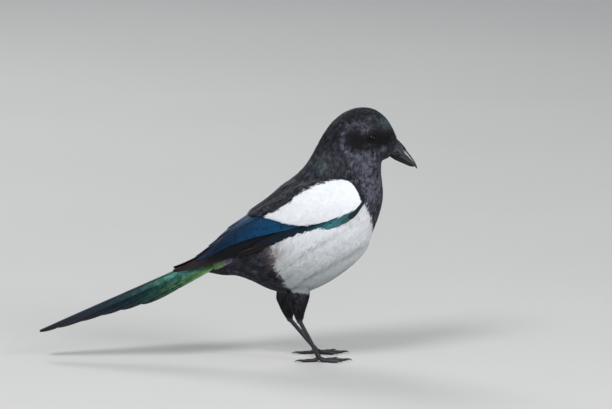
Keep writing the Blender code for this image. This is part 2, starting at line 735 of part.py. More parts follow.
def make_wing(side_name, side):
    """One folded wing: primaries below, secondaries with their coverts over them, scapulars."""
    sheet, outward = wing_sheet(side), outward_of(side)

    pieces = [wing_plate("core", side, 1, 7, 2, 5, PRIMARY_CORE)]
    for i, tip in enumerate(PRIMARY_TIPS):
        root = (0.40, 0.90 - 0.06 * i)
        pieces.append(
            vane(sheet, outward, root, tip, (3.2, 3.4), PRIMARY_LIFT, tilt=0.08,
                 stops=LONG_VANE_STOPS, thickness=FLIGHT_THICKNESS)
        )
    for root_s, root_t, tip_s, tip_t in PRIMARY_COVERTS:
        pieces.append(
            vane(sheet, outward, (root_s, root_t), (tip_s, tip_t), (3.2, 2.6), PRIMARY_COVERT_LIFT)
        )
    primaries = fuse("primaries_" + side_name, pieces, "dark_flight_feathers")
    carve(primaries, tail_slab("tail_room", (-9.0, 0.5 + GAP / MM), 60.0))

    pieces = [wing_plate("core", side, 0, 7, 0, 4, SECONDARY_CORE)]
    for i, tip in enumerate(SECONDARY_TIPS):
        root = (0.42, 0.68 - 0.09 * i)
        pieces.append(
            vane(sheet, outward, root, tip, (2.4, 5.4), SECONDARY_LIFT, tilt=0.08,
                 stops=LONG_VANE_STOPS, thickness=FLIGHT_THICKNESS)
        )
    for i in range(COVERTS):
        root = (0.015 + 0.064 * i, 0.68)
        tip = (0.115 + 0.074 * i, 0.985)
        pieces.append(vane(sheet, outward, root, tip, (4.9, 4.9), COVERT_LIFT, tilt=-0.04))
    secondaries = fuse("secondaries_" + side_name, pieces, "blue_flight_feathers")

    pieces = [wing_plate("core", side, 0, 5, 0, 4, SCAPULAR_CORE)]
    for across, first, count in SCAPULAR_ROWS:
        for i in range(count):
            start = first + SCAPULAR_STEP * i
            pull = 0.10 + 0.9 * max(0.0, start - 0.10)
            end = across + (SCAPULAR_TIP_ACROSS - across) * pull
            pieces.append(
                vane(sheet, outward, (start, across + (end - across) * 0.4),
                     (start + SCAPULAR_LENGTH, end), (5.0, 5.0), SCAPULAR_LIFT, tilt=0.03)
            )
    scapulars = fuse("scapulars_" + side_name, pieces, "white_plumage")
    return primaries, secondaries, scapulars


def tail_slab(name, lifts, length=210.0, half_width=30.0):
    """A closed slab along the tail's roof between two heights, for cutting."""
    lengths = np.linspace(-14.0, length, 6)
    return pad(name, tail_sheet, tail_turn(), lengths, np.linspace(-half_width, half_width, 13),
               lifts)


def tail_turn():
    """The sign that turns the tail sheet's normal upwards."""
    _, _, _, normal = frame_of(tail_sheet, np.array([20.0]), np.array([0.1]), 1)
    return 1 if normal[0, 2] > 0 else -1


def make_tail():
    """Twelve tail feathers in steps, the middle pair on top, and the coverts over their roots."""
    outward = tail_turn()
    pieces = [
        pad("core", tail_sheet, outward, np.linspace(-6, 26, 3), np.linspace(-12.5, 12.5, 6),
            TAIL_CORE)
    ]
    for pair, share in enumerate(TAIL_STEPS):
        for side in (LEFT, RIGHT):
            lift = -0.75 * pair - (0.37 if side == LEFT else 0.0)
            root = (0.0, side * (2.0 + 0.9 * pair))
            tip = (TAIL_LENGTH * share, side * (2.0 + 3.5 * pair))
            widths = (6.5, 8.5) if side == LEFT else (8.5, 6.5)
            pieces.append(
                vane(tail_sheet, outward, root, tip, widths, (lift, lift),
                     stops=LONG_VANE_STOPS, thickness=FLIGHT_THICKNESS)
            )
    for start, end, lift in ((-4.0, 22.0, 2.6), (0.0, 34.0, 1.8), (8.0, 48.0, 1.0)):
        pieces.append(
            vane(tail_sheet, outward, (start, 0.0), (end, 0.0), (3.0, 3.0), (lift - 0.8, lift))
        )
    tail = fuse("tail", pieces, "green_tail_feathers")
    return carve(tail, body_cutter())


def leg_path(name):
    """Centre line of a leg below the feathers: thigh end, first bend, toe root and its side."""
    leg = LEGS[name]
    side = LEFT if name == "left" else RIGHT
    y = LEG_SIDE * side
    last = np.array(leg["thigh"][-1])
    before = np.array(leg["thigh"][-2])
    end = np.array([last[0], y, last[1]])
    ahead = end - np.array([before[0], y, before[1]])
    ahead /= np.linalg.norm(ahead)
    toe_root = np.array([leg["toe_root"][0], y, leg["toe_root"][1]])
    return end, ahead, toe_root, side


def make_thigh(name):
    """The feathered part of one leg, cut to the torso's shape."""
    _, _, _, side = leg_path(name)
    rows = along(LEGS[name]["thigh"], np.linspace(0, 5, 9))
    centres = [(row[0], row[3] * side, row[1]) for row in rows]
    thigh = tube("thigh_" + name, centres, [row[2] for row in rows], 16, "black_plumage")
    smooth(thigh)
    return carve(thigh, body_cutter())


def make_shank(name):
    """The bare shank with a raised edge at the foot of each scute."""
    end, ahead, toe_root, _ = leg_path(name)
    start = end + ahead * GAP / MM
    hock = start + ahead * 1.6
    way = toe_root - hock
    way /= np.linalg.norm(way)
    foot = toe_root - way * 3.2
    centres, radii = [start, hock], [3.0, 2.9]
    for scute in range(SCUTES):
        upper = (scute + 0.25) / (SCUTES + 0.4)
        lower = (scute + 0.95) / (SCUTES + 0.4)
        centres += [hock + (foot - hock) * upper, hock + (foot - hock) * lower]
        radii += [SHANK_RADIUS - 0.05, SHANK_RADIUS + 0.15]
    centres.append(foot)
    radii.append(SHANK_RADIUS + 0.1)
    shank = tube("shank_" + name, centres, radii, 10, "leg_skin")
    smooth(shank, 60.0)
    return shank


def toe_line(root, heading, length, radius):
    """Centres and radii of a toe that lies along the floor, swollen between its joints."""
    way = np.array([math.cos(heading), math.sin(heading), 0.0])
    centres = [root - way * 0.4, root + way * 1.4]
    centres[1][2] = root[2] - 0.7
    radii = [radius * 1.05, radius * 1.05]
    pads = max(2, round(length / 7.0))
    for i in range(pads):
        for share, swell in ((0.45, 1.1), (0.95, 0.86)):
            reach = 2.6 + (length - 2.6) * (i + share) / pads
            thin = radius * (1 - 0.28 * reach / length)
            point = root + way * reach
            point[2] = thin * 0.86
            centres.append(point)
            radii.append(thin * swell)
    return centres, radii


def make_foot(name):
    """One foot of four toes fused round the toe root, and a claw before each toe."""
    end, ahead, toe_root, side = leg_path(name)
    hock = end + ahead * (GAP / MM + 1.6)
    way = toe_root - hock
    way /= np.linalg.norm(way)
    top = toe_root - way * (3.2 - GAP / MM)
    pieces = [
        tube("instep", [top, top + way * 1.6, toe_root + (0.0, 0.0, -1.2)], [2.1, 2.4, 2.3], 10,
             flat_at_floor=True)
    ]
    claws = []
    for toe, heading, length, claw_length in TOES:
        angle = math.radians(heading + LEGS[name]["turn"]) * side
        radius = TOE_RADIUS * (1.0 if toe in ("middle", "hind") else 0.9)
        centres, radii = toe_line(toe_root, angle, length, radius)
        pieces.append(tube("toe", centres, radii, 8, flat_at_floor=True))
        claws.append(make_claw(f"claw_{toe}_{name}", centres, radii, angle, claw_length))
    return fuse("foot_" + name, pieces, "leg_skin"), claws


def make_claw(name, centres, radii, heading, length):
    """A curved claw from a toe's end, its point just clear of the floor."""
    way = np.array([math.cos(heading), math.sin(heading), 0.0])
    start = centres[-1] + way * (GAP / MM)
    points, sizes = [], []
    for share in np.linspace(0.0, 1.0, 6):
        point = start + way * length * math.sin(share * 1.45) / math.sin(1.45)
        point[2] = start[2] + 1.1 * math.sin(share * 2.2) - (start[2] + 0.39) * share**2.4
        points.append(point)
        sizes.append(radii[-1] * 0.92 * (1 - 0.86 * share**0.9))
    first = points[1] - points[0]
    first[2] = 0.0
    points[1] = points[0] + first
    claw = tube(name, points, sizes, 7, "claw_horn")
    smooth(claw, 50.0)
    return claw


def main():
    """Builds the whole bird."""
    clear_scene()
    make_head()
    make_trunk()
    make_bill()
    for name, side in (("left", LEFT), ("right", RIGHT)):
        make_eye("eye_" + name, side)
        make_wing(name, side)
        make_thigh(name)
        make_shank(name)
        make_foot(name)
    make_tail()


main()
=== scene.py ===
"""A life-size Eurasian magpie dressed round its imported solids.

The bird faces +X, its left side is +Y and it stands on Z = 0. Sizes are in millimetres until a
mesh is made, and angles are in radians where a name doesn't say degrees. Each form is a Sheet, a
surface over two coordinates, on which tufts, vanes and plates are laid as joined meshes.
"""

from __future__ import annotations

import logging
import math
from collections.abc import Callable, Sequence
from dataclasses import dataclass, field
from enum import Enum

import bpy
import numpy as np
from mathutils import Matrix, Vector
from mathutils.bvhtree import BVHTree


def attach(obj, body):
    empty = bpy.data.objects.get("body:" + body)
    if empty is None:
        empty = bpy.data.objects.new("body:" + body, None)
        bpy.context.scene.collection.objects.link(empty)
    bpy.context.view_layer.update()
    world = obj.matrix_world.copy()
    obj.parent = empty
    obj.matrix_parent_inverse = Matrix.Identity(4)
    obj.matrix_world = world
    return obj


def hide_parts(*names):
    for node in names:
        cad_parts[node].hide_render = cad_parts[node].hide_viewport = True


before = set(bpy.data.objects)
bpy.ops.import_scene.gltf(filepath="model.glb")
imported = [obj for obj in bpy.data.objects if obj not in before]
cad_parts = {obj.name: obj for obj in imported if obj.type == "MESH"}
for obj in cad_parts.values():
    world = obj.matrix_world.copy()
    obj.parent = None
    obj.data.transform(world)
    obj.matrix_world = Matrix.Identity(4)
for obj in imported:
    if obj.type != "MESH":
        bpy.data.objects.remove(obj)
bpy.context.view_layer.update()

MM = 0.001
TURN = 2 * math.pi
TINY = 1e-12
# Its powers, counted off, spread pairs of shares evenly over a square.
PLASTIC_NUMBER = 1.32471795724
SEED = 20
CAMERA_RISE = math.radians(10.0)
LOG = logging.getLogger("magpie")
Array = np.ndarray
Rows = tuple[tuple[float, ...], ...]
Triple = tuple[float, float, float]
Colour = Triple
Material = bpy.types.Material
Socket = bpy.types.NodeSocket
Random = np.random.Generator


class Side(Enum):
    """The bird's two sides, by the sign of Y."""

    LEFT = 1
    RIGHT = -1

    @property
    def label(self) -> str:
        """The side's name in the names of nodes and pieces."""
        return self.name.lower()


def along(rows: Sequence[Sequence[float]], place: Array) -> Array:
    """Smooth values between rows, straight beyond the first and last.

    Args:
        rows: Values at places 0, 1, 2 and so on.
        place: Where to read them.

    Returns:
        One row of values for each place.
    """
    rows = np.asarray(rows, float)
    place = np.asarray(place, float)
    last = len(rows) - 1
    start = np.clip(np.floor(place).astype(int), 0, last - 1)
    share = (place - start)[..., None]
    one, two = rows[start], rows[start + 1]
    leave = (two - rows[np.maximum(start - 1, 0)]) / 2
    arrive = (rows[np.minimum(start + 2, last)] - one) / 2
    within = held(share)
    curve = (
        one * (1 + 2 * within) * (1 - within) ** 2
        + leave * within * (1 - within) ** 2
        + two * within**2 * (3 - 2 * within)
        + arrive * within**2 * (within - 1)
    )
    beyond = share - within
    return curve + np.where(beyond < 0, leave, arrive) * beyond


def table(rows: Rows, column: int, place: Array) -> Array:
    """Straight-line values of one column of a table whose first column is the place."""
    found = np.asarray(rows, float)
    return np.interp(place, found[:, 0], found[:, column])


def unit(vectors: Array) -> Array:
    """Vectors at length one."""
    return vectors / np.maximum(np.linalg.norm(vectors, axis=-1, keepdims=True), TINY)


def dot(one: Array, two: Array) -> Array:
    """Dot products along the last axis, kept as a column."""
    return np.sum(one * two, axis=-1, keepdims=True)


def together(*parts: Array | float) -> Array:
    """Values side by side along a new last axis."""
    return np.stack(np.broadcast_arrays(*parts), axis=-1)


def held(values: Array) -> Array:
    """The values held between nought and one."""
    return np.clip(values, 0.0, 1.0)


def hump(values: Array, middle: float, width: float) -> Array:
    """A smooth hump of height one round a value."""
    return np.exp(-(((values - middle) / width) ** 2))


def below(values: Array, start: float, over: float, most: float = 1.0) -> Array:
    """Nought above a start, rising evenly below it up to a most."""
    return np.clip((start - values) / over, 0.0, most)


def seen(points: Array) -> Array:
    """Points as (x, height), as they line up from the side ten degrees above the floor."""
    x, y, z = (points[..., axis] for axis in range(3))
    return together(x, z - np.abs(y) * math.tan(CAMERA_RISE))


def inside(outline: Array, places: Array) -> Array:
    """Whether each (x, height) lies inside a closed outline.

    Args:
        outline: Its corners.
        places: Places in side view.

    Returns:
        True or false for each.
    """
    x, z = places[..., 0], places[..., 1]
    found = np.zeros(x.shape, bool)
    for (x1, z1), (x2, z2) in zip(outline, np.roll(outline, -1, axis=0)):
        rises = (z1 > z) != (z2 > z)
        found ^= rises & (x < (x2 - x1) * (z - z1) / (z2 - z1 + TINY) + x1)
    return found


def bump_at(points: Array, x: float, z: float, radius: float) -> Array:
    """A smooth hill of height one round a place in side view."""
    away = (points[..., 0] - x) ** 2 + (points[..., 2] - z) ** 2
    return np.exp(-away / radius**2)


def hills(points: Array, rows: Rows, base: Array | float = 0.0) -> Array:
    """Smooth hills on a base, one for each row of x, z, radius and height."""
    for x, z, radius, height in rows:
        base = base + height * bump_at(points, x, z, radius)
    return base


def streaks(along_lie: Array, across_lie: Array, seed: int) -> Array:
    """Soft uneven streaks about nought, one cell long and one wide.

    Args:
        along_lie: Places along the streaks, in cells.
        across_lie: Places across the streaks, in cells.
        seed: Which pattern.

    Returns:
        A value for each place, about one in size.
    """
    cells = 256
    grid = np.random.default_rng(seed).normal(0.0, 1.0, (cells, cells))
    i, j = np.floor(along_lie).astype(int), np.floor(across_lie).astype(int)
    f, g = along_lie - i, across_lie - j
    f, g = f * f * (3 - 2 * f), g * g * (3 - 2 * g)

    def level(row: Array) -> Array:
        """Values along one line of cells, smooth from cell to cell."""
        row = row % cells
        return grid[row, j % cells] * (1 - g) + grid[row, (j + 1) % cells] * g

    return level(i) * (1 - f) + level(i + 1) * f


def rings_over(start: float, end: float, rings: int, sides: int) -> tuple[Array, Array]:
    """Coordinates u and v of rings from start to end, v going once round."""
    around = np.arange(sides) * TURN / sides
    return tuple(np.meshgrid(np.linspace(start, end, rings), around, indexing="ij"))


class Sheet:
    """A surface over two coordinates u and v."""

    outward: float = 1.0
    # The step over which slopes are measured.
    reach: float = 1e-3

    def at(self, u: Array, v: Array) -> Array:
        """Points on the surface."""
        raise NotImplementedError

    def slopes(self, u: Array, v: Array) -> tuple[Array, Array, Array]:
        """Both slopes and the outward normal.

        Args:
            u: First coordinates.
            v: Second coordinates.

        Returns:
            The slope along u, the slope along v and the normal.
        """
        e = self.reach
        ahead = (self.at(u + e, v) - self.at(u - e, v)) / (2 * e)
        cross = (self.at(u, v + e) - self.at(u, v - e)) / (2 * e)
        return ahead, cross, unit(np.cross(ahead, cross)) * self.outward

    def raised(self, u: Array, v: Array, height: Array) -> Array:
        """Points at a height over the surface."""
        return self.at(u, v) + self.slopes(u, v)[2] * np.asarray(height, float)[..., None]

    def grips(self, u: Array, v: Array) -> tuple[Array, Array, Array]:
        """What turns a short way over the surface into coordinates.

        Args:
            u: First coordinate of each place.
            v: Second coordinate of each place.

        Returns:
            Length of the first slope, then the second slope along it and across it.
        """
        ahead, cross, normal = self.slopes(u, v)
        first = unit(ahead)
        second = np.cross(normal, first)
        return np.linalg.norm(ahead, axis=-1), dot(cross, first)[..., 0], dot(cross, second)[..., 0]


def lofted(sections: Rows, u: Array, v: Array, height: Array) -> Array:
    """Points of a form lofted through sections and grown by a height.

    Args:
        sections: Top (x, z), foot (x, z), half width and the share of the way down where it is
            widest, for u = 0, 1, 2 and so on.
        u: How far along the form.
        v: The angle from its top.
        height: How far it is grown.

    Returns:
        The points.
    """
    row = along(sections, u)
    top, foot = (together(row[..., i], 0.0, row[..., i + 1]) for i in (0, 2))
    down = unit(foot - top)
    top, foot = top - down * height[..., None], foot + down * height[..., None]
    middle = top + (foot - top) * row[..., 5:6]
    rise = np.cos(v)[..., None]
    points = middle + np.where(rise > 0, top - middle, middle - foot) * rise
    points[..., 1] = (row[..., 4] + height) * np.sin(v)
    return points


@dataclass(frozen=True)
class BodyForm(Sheet):
    """The lofted body from the bill (u = 0) to the tail (u = 19), v the angle from its top."""

    # Top (x, z), foot (x, z), half width and the share of the way down where it is widest.
    sections: Rows = (
        (161.4, 211.5, 154.3, 194.2, 6.6, 0.50),
        (156.8, 222.1, 151.5, 193.0, 12.4, 0.54),
        (150.0, 232.3, 149.0, 192.0, 16.4, 0.55),
        (139.6, 239.7, 147.0, 190.5, 18.8, 0.56),
        (127.2, 241.6, 146.2, 186.0, 20.4, 0.56),
        (112.9, 237.8, 146.2, 179.0, 21.6, 0.54),
        (100.6, 228.4, 147.1, 170.5, 23.0, 0.52),
        (91.1, 215.4, 147.9, 161.0, 25.0, 0.50),
        (83.5, 201.4, 147.1, 149.8, 28.0, 0.50),
        (75.5, 187.5, 143.8, 137.0, 31.6, 0.50),
        (66.4, 177.6, 138.1, 121.8, 35.0, 0.50),
        (54.0, 167.6, 131.8, 104.2, 37.8, 0.50),
        (42.0, 157.5, 115.6, 87.4, 39.4, 0.50),
        (33.1, 146.4, 94.0, 72.6, 39.0, 0.50),
        (26.5, 134.0, 69.0, 63.0, 35.6, 0.50),
        (17.5, 122.6, 43.5, 66.2, 29.5, 0.50),
        (7.5, 114.0, 23.0, 75.6, 23.0, 0.50),
        (-2.0, 107.6, 8.5, 80.3, 17.0, 0.50),
        (-8.0, 103.0, -3.0, 80.4, 12.5, 0.50),
        (-14.5, 97.0, -12.0, 82.0, 7.5, 0.50),
    )
    # Swellings and hollows of the face: centre (x, z), radius and push outwards.
    relief: Rows = (
        (140.5, 221.5, 7.0, 1.0),
        (150.0, 209.0, 6.5, -1.6),
        (137.5, 215.0, 6.5, -1.1),
        (128.0, 204.0, 12.0, 1.3),
    )
    # They fade out within this distance of the bird's middle plane.
    relief_fade: float = 8.0
    outward: float = -1.0

    @property
    def end(self) -> float:
        """The last u, at the tail."""
        return len(self.sections) - 1.0

    def at(self, u: Array, v: Array) -> Array:
        """Points on the outer form."""
        return self.raised(u, v, np.zeros(np.broadcast(u, v).shape))

    def raised(self, u: Array, v: Array, height: Array) -> Array:
        """Points of the form grown by a height.

        Args:
            u: First coordinates.
            v: Second coordinates.
            height: How far the form is grown.

        Returns:
            The points.
        """
        points = lofted(self.sections, u, v, np.asarray(height, float))
        across = points[..., 1]
        side = np.sign(across) * held(np.abs(across) / self.relief_fade)
        for x, z, radius, push in self.relief:
            across = across + side * push * bump_at(points, x, z, radius)
        points[..., 1] = across
        return points


@dataclass(frozen=True)
class WingSheet(Sheet):
    """The folded wing: u from its bend (0) to its tip (1), v from its upper edge to its lower."""

    side: Side = Side.LEFT
    # Millimetres for each unit of u.
    span: float = 195.0
    # Upper edge (x, y, z), lower edge (x, y, z) and bulge between them.
    stations: Rows = (
        (117.0, 23.5, 175.5, 129.0, 27.0, 155.4, 2.0),
        (98.0, 23.0, 175.5, 112.0, 32.5, 141.0, 3.5),
        (79.0, 22.0, 171.5, 87.0, 34.5, 130.7, 5.0),
        (60.0, 18.0, 162.0, 65.0, 33.5, 122.3, 6.8),
        (41.0, 12.0, 149.0, 43.0, 31.0, 114.4, 7.8),
        (22.0, 6.5, 135.5, 22.0, 26.0, 106.8, 7.8),
        (3.0, 5.0, 120.5, 3.0, 20.5, 101.0, 6.3),
        (-15.0, 4.5, 103.8, -14.0, 15.0, 94.8, 4.0),
        (-35.0, 5.0, 92.0, -33.0, 10.5, 88.8, 1.5),
        (-52.0, 6.5, 85.8, -52.0, 8.0, 84.2, 0.5),
    )

    @property
    def outward(self) -> float:
        """The sign that turns the normal away from the bird."""
        return -float(self.side.value)

    def at(self, u: Array, v: Array) -> Array:
        """Points on the sheet.

        Args:
            u: First coordinates.
            v: Second coordinates.

        Returns:
            The points.
        """
        row = along(self.stations, np.asarray(u, float) * (len(self.stations) - 1))
        upper, chord = row[..., 0:3], row[..., 3:6] - row[..., 0:3]
        across = np.asarray(v, float)[..., None]
        out = unit(together(0.0, -chord[..., 2], chord[..., 1]))
        point = upper + chord * across + out * row[..., 6:7] * 4 * across * (1 - across)
        return point * (1.0, self.side.value, 1.0)

    def rim(self, trim: float) -> Array:
        """The sheet's outline in side view, drawn in by a share of its width."""
        lengths = np.linspace(0.01, 1.0, 30)
        edges = [self.at(lengths, trim), self.at(lengths[::-1], 1 - trim)]
        return np.concatenate(edges)[:, (0, 2)]


@dataclass(frozen=True)
class ShoulderSheet(Sheet):
    """The pad of shoulder feathers on the folded wing, thinner to its upper and front edges."""

    wing: WingSheet = WingSheet()
    full: float = 5.7
    # Where the pad starts to thin, over how much, how far that goes on and by what depth.
    upper_edge: tuple[float, float, float, float] = (0.16, 0.20, 1.05, 2.6)
    front_edge: tuple[float, float, float, float] = (0.09, 0.12, 1.1, 4.6)

    @property
    def outward(self) -> float:
        """The wing's own sign."""
        return self.wing.outward

    def at(self, u: Array, v: Array) -> Array:
        """Points on top of the pad."""
        thin, front = (
            below(np.asarray(place, float), *edge[:3]) ** 2 * edge[3]
            for place, edge in ((v, self.upper_edge), (u, self.front_edge))
        )
        return self.wing.raised(u, v, self.full - thin - front)


@dataclass(frozen=True)
class TailSheet(Sheet):
    """The tail's roof: u millimetres back from its root, v millimetres sideways."""

    root: tuple[float, float] = (-2.0, 106.0)
    slope: float = math.radians(24.1)
    roof: float = math.radians(24.0)
    twist: float = math.radians(11.0)
    ridge: float = 4.0
    outward: float = -1.0

    def at(self, u: Array, v: Array) -> Array:
        """Points on the roof.

        Args:
            u: First coordinates.
            v: Second coordinates.

        Returns:
            The points.
        """
        u, v = np.asarray(u, float), np.asarray(v, float)
        side = v * math.cos(self.roof)
        down = (np.sqrt(v**2 + self.ridge**2) - self.ridge) * math.sin(self.roof)
        turned = down * math.cos(self.twist) - side * math.sin(self.twist)
        back, fall = math.cos(self.slope), math.sin(self.slope)
        return together(
            self.root[0] - u * back + turned * fall,
            side * math.cos(self.twist) + down * math.sin(self.twist),
            self.root[1] - u * fall - turned * back,
        )


@dataclass(frozen=True)
class BillSheet(Sheet):
    """One half of the bill: u from the face (0) towards the tip, v the angle from its top."""

    # Top (x, z), foot (x, z), half width and the share of the way down where it is widest.
    sections: Rows = (
        (161.3, 210.3, 156.4, 198.4, 5.6, 0.90),
        (166.0, 205.4, 160.6, 195.9, 5.0, 0.90),
        (170.6, 200.2, 165.2, 193.4, 4.2, 0.90),
        (174.5, 195.2, 169.9, 190.6, 3.2, 0.90),
        (177.6, 190.6, 174.4, 187.5, 2.1, 0.85),
        (179.7, 186.6, 177.9, 185.1, 1.1, 0.75),
        (180.6, 183.4, 180.0, 182.9, 0.4, 0.50),
    )

    @property
    def end(self) -> float:
        """The last u, at the tip."""
        return len(self.sections) - 1.0

    def at(self, u: Array, v: Array) -> Array:
        """Points on the horn."""
        return lofted(self.sections, u, v, np.zeros(np.broadcast(u, v).shape))


@dataclass(frozen=True)
class StalkSheet(Sheet):
    """A round stalk such as a thigh: u from its first row down, v the angle from straight ahead."""

    # Centre x, z, radius and distance from the bird's middle plane.
    rows: Rows = ()
    side: Side = Side.LEFT

    @property
    def end(self) -> float:
        """The last u."""
        return len(self.rows) - 1.0

    def at(self, u: Array, v: Array) -> Array:
        """Points on the stalk."""
        row = along(self.rows, u)
        return together(
            row[..., 0] + row[..., 2] * np.cos(v),
            row[..., 3] * self.side.value + row[..., 2] * np.sin(v),
            row[..., 1],
        )


@dataclass
class Shape:
    """A mesh in the making: points, triangles, normals, marks for the finish and a bake map."""

    points: Array
    faces: Array
    normals: Array | None = None
    marks: dict[str, Array] = field(default_factory=dict)
    unwrap: Array | None = None

    @staticmethod
    def joined(shapes: Sequence[Shape]) -> Shape:
        """All shapes as one; they carry the same marks.

        Args:
            shapes: The shapes.

        Returns:
            One shape.
        """
        starts = np.cumsum([0] + [len(shape.points) for shape in shapes[:-1]])
        first = shapes[0]
        return Shape(
            np.concatenate([shape.points for shape in shapes]),
            np.concatenate([shape.faces + start for shape, start in zip(shapes, starts)]),
            None if first.normals is None else np.concatenate([s.normals for s in shapes]),
            {name: np.concatenate([s.marks[name] for s in shapes]) for name in first.marks},
            None if first.unwrap is None else np.concatenate([s.unwrap for s in shapes]),
        )

    def build(
        self, name: str, finish: Material, slot: str, *replaces: str,
    ) -> None:
        """Makes the piece, dresses it and lets it ride on the bird.

        Args:
            name: The piece's name.
            finish: Its material.
            slot: The record's material slot it stands for; not used.
            replaces: The nodes that it takes the place of.
        """
        mesh = bpy.data.meshes.new(name)
        count = len(self.faces)
        mesh.vertices.add(len(self.points))
        mesh.vertices.foreach_set("co", (self.points * MM).astype(np.float32).ravel())
        mesh.loops.add(3 * count)
        mesh.loops.foreach_set("vertex_index", self.faces.astype(np.int32).ravel())
        mesh.polygons.add(count)
        mesh.polygons.foreach_set("loop_start", np.arange(0, 3 * count, 3, dtype=np.int32))
        mesh.polygons.foreach_set("use_smooth", np.ones(count, bool))
        mesh.update(calc_edges=True)
        for mark, values in self.marks.items():
            layer = mesh.attributes.new(mark, "FLOAT", "POINT")
            layer.data.foreach_set("value", values.astype(np.float32).ravel())
        if self.unwrap is not None:
            layer = mesh.uv_layers.new(name="OFBake")
            corners = self.unwrap[self.faces.ravel()]
            layer.data.foreach_set("uv", corners.astype(np.float32).ravel())
        if self.normals is not None:
            mesh.normals_split_custom_set_from_vertices(self.normals.astype(np.float32))
        mesh.materials.append(finish)
        piece = bpy.data.objects.new(name, mesh)
        bpy.context.scene.collection.objects.link(piece)
        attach(piece, "root")
        if replaces:
            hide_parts(*replaces)
        LOG.info("%s: %d triangles", name, count)


def grid_faces(rows: int, columns: int, closed: bool = False) -> Array:
    """Triangles of a grid of points.

    Args:
        rows: Points along it.
        columns: Points across it.
        closed: Whether the last column meets the first.

    Returns:
        Point numbers, three for each triangle.
    """
    i, j = np.meshgrid(
        np.arange(rows - 1), np.arange(columns if closed else columns - 1), indexing="ij"
    )
    after = (j + 1) % columns
    a, b = i * columns + j, i * columns + after
    c, d = (i + 1) * columns + after, (i + 1) * columns + j
    return np.stack([together(a, b, c), together(a, c, d)], 2).reshape(-1, 3)


def slab_faces(rows: int, columns: int) -> Array:
    """Triangles of a closed slab: a grid of points for its top and then one for its foot.

    Args:
        rows: Points along it.
        columns: Points across it.

    Returns:
        Point numbers, three for each triangle.
    """
    size = rows * columns
    top = grid_faces(rows, columns)
    rim = np.concatenate(
        [
            np.arange(rows) * columns,
            (rows - 1) * columns + np.arange(1, columns),
            np.arange(rows - 2, -1, -1) * columns + columns - 1,
            np.arange(columns - 2, 0, -1),
        ]
    )
    after = np.roll(rim, -1)
    wall = np.concatenate(
        [together(rim, after + size, after), together(rim, rim + size, after + size)]
    )
    return np.concatenate([top, top[:, ::-1] + size, wall[:, ::-1]])


def ring_tube(rings: Array) -> Shape:
    """A closed tube through rings of points, its ends drawn to their middles, faced outwards.

    Args:
        rings: The rings' points, ring by ring.

    Returns:
        The tube.
    """
    count, sides = rings.shape[:2]
    points = np.concatenate([rings.reshape(-1, 3), rings[:1].mean(1), rings[-1:].mean(1)])
    around = np.arange(sides)
    after = (around + 1) % sides
    first, last = count * sides, (count - 1) * sides
    caps = [together(after, around, first), together(around + last, after + last, first + 1)]
    return faced_out(Shape(points, np.concatenate([grid_faces(count, sides, True)] + caps)))


def faced_out(shape: Shape) -> Shape:
    """The closed shape with its faces turned outwards.

    Args:
        shape: The shape, which is changed.

    Returns:
        The same shape.
    """
    a, b, c = (shape.points[shape.faces[:, i]] for i in range(3))
    if np.sum(dot(a, np.cross(b, c))) < 0:
        shape.faces = shape.faces[:, ::-1]
    return shape


def united(shapes: Sequence[Shape]) -> Shape:
    """Closed shapes as one skin, without the parts that lie inside another.

    Args:
        shapes: The closed shapes.

    Returns:
        The skin.
    """
    objects = []
    for shape in shapes:
        mesh = bpy.data.meshes.new("part")
        mesh.from_pydata(shape.points.tolist(), [], shape.faces.tolist())
        objects.append(bpy.data.objects.new("part", mesh))
        bpy.context.scene.collection.objects.link(objects[-1])
    for other in objects[1:]:
        union = objects[0].modifiers.new("union", "BOOLEAN")
        union.operation, union.solver, union.object = "UNION", "EXACT", other
    whole = objects[0].evaluated_get(bpy.context.evaluated_depsgraph_get()).to_mesh()
    whole.calc_loop_triangles()
    points, faces = np.empty(3 * len(whole.vertices)), np.empty(3 * len(whole.loop_triangles), int)
    whole.vertices.foreach_get("co", points)
    whole.loop_triangles.foreach_get("vertices", faces)
    for item in objects:
        bpy.data.objects.remove(item)
    return Shape(points.reshape(-1, 3), faces.reshape(-1, 3))


def tube_along(centres: Array, radii: Array, sides: int, tall: float = 1.0) -> Array:
    """Rings round a path.

    Args:
        centres: The path's points.
        radii: The radius at each.
        sides: Points in each ring.
        tall: Height of a ring as a share of its width.

    Returns:
        The rings' points.
    """
    ahead = unit(np.gradient(centres, axis=0))
    side = unit(np.cross(ahead, (0.0, 0.0, 1.0)) + 1e-9)
    upright = np.abs(ahead[:, 2:3]) > 0.98
    side = np.where(upright, unit(np.cross(ahead, (0.0, 1.0, 0.0))), side)
    for i in range(1, len(side)):
        side[i] = unit(side[i - 1] - ahead[i] * (side[i - 1] @ ahead[i]))
    up = np.cross(side, ahead)
    angle = (np.arange(sides) * TURN / sides)[None, :, None]
    ring = np.cos(angle) * side[:, None] + np.sin(angle) * up[:, None] * tall
    return centres[:, None] + ring * np.asarray(radii)[:, None, None]


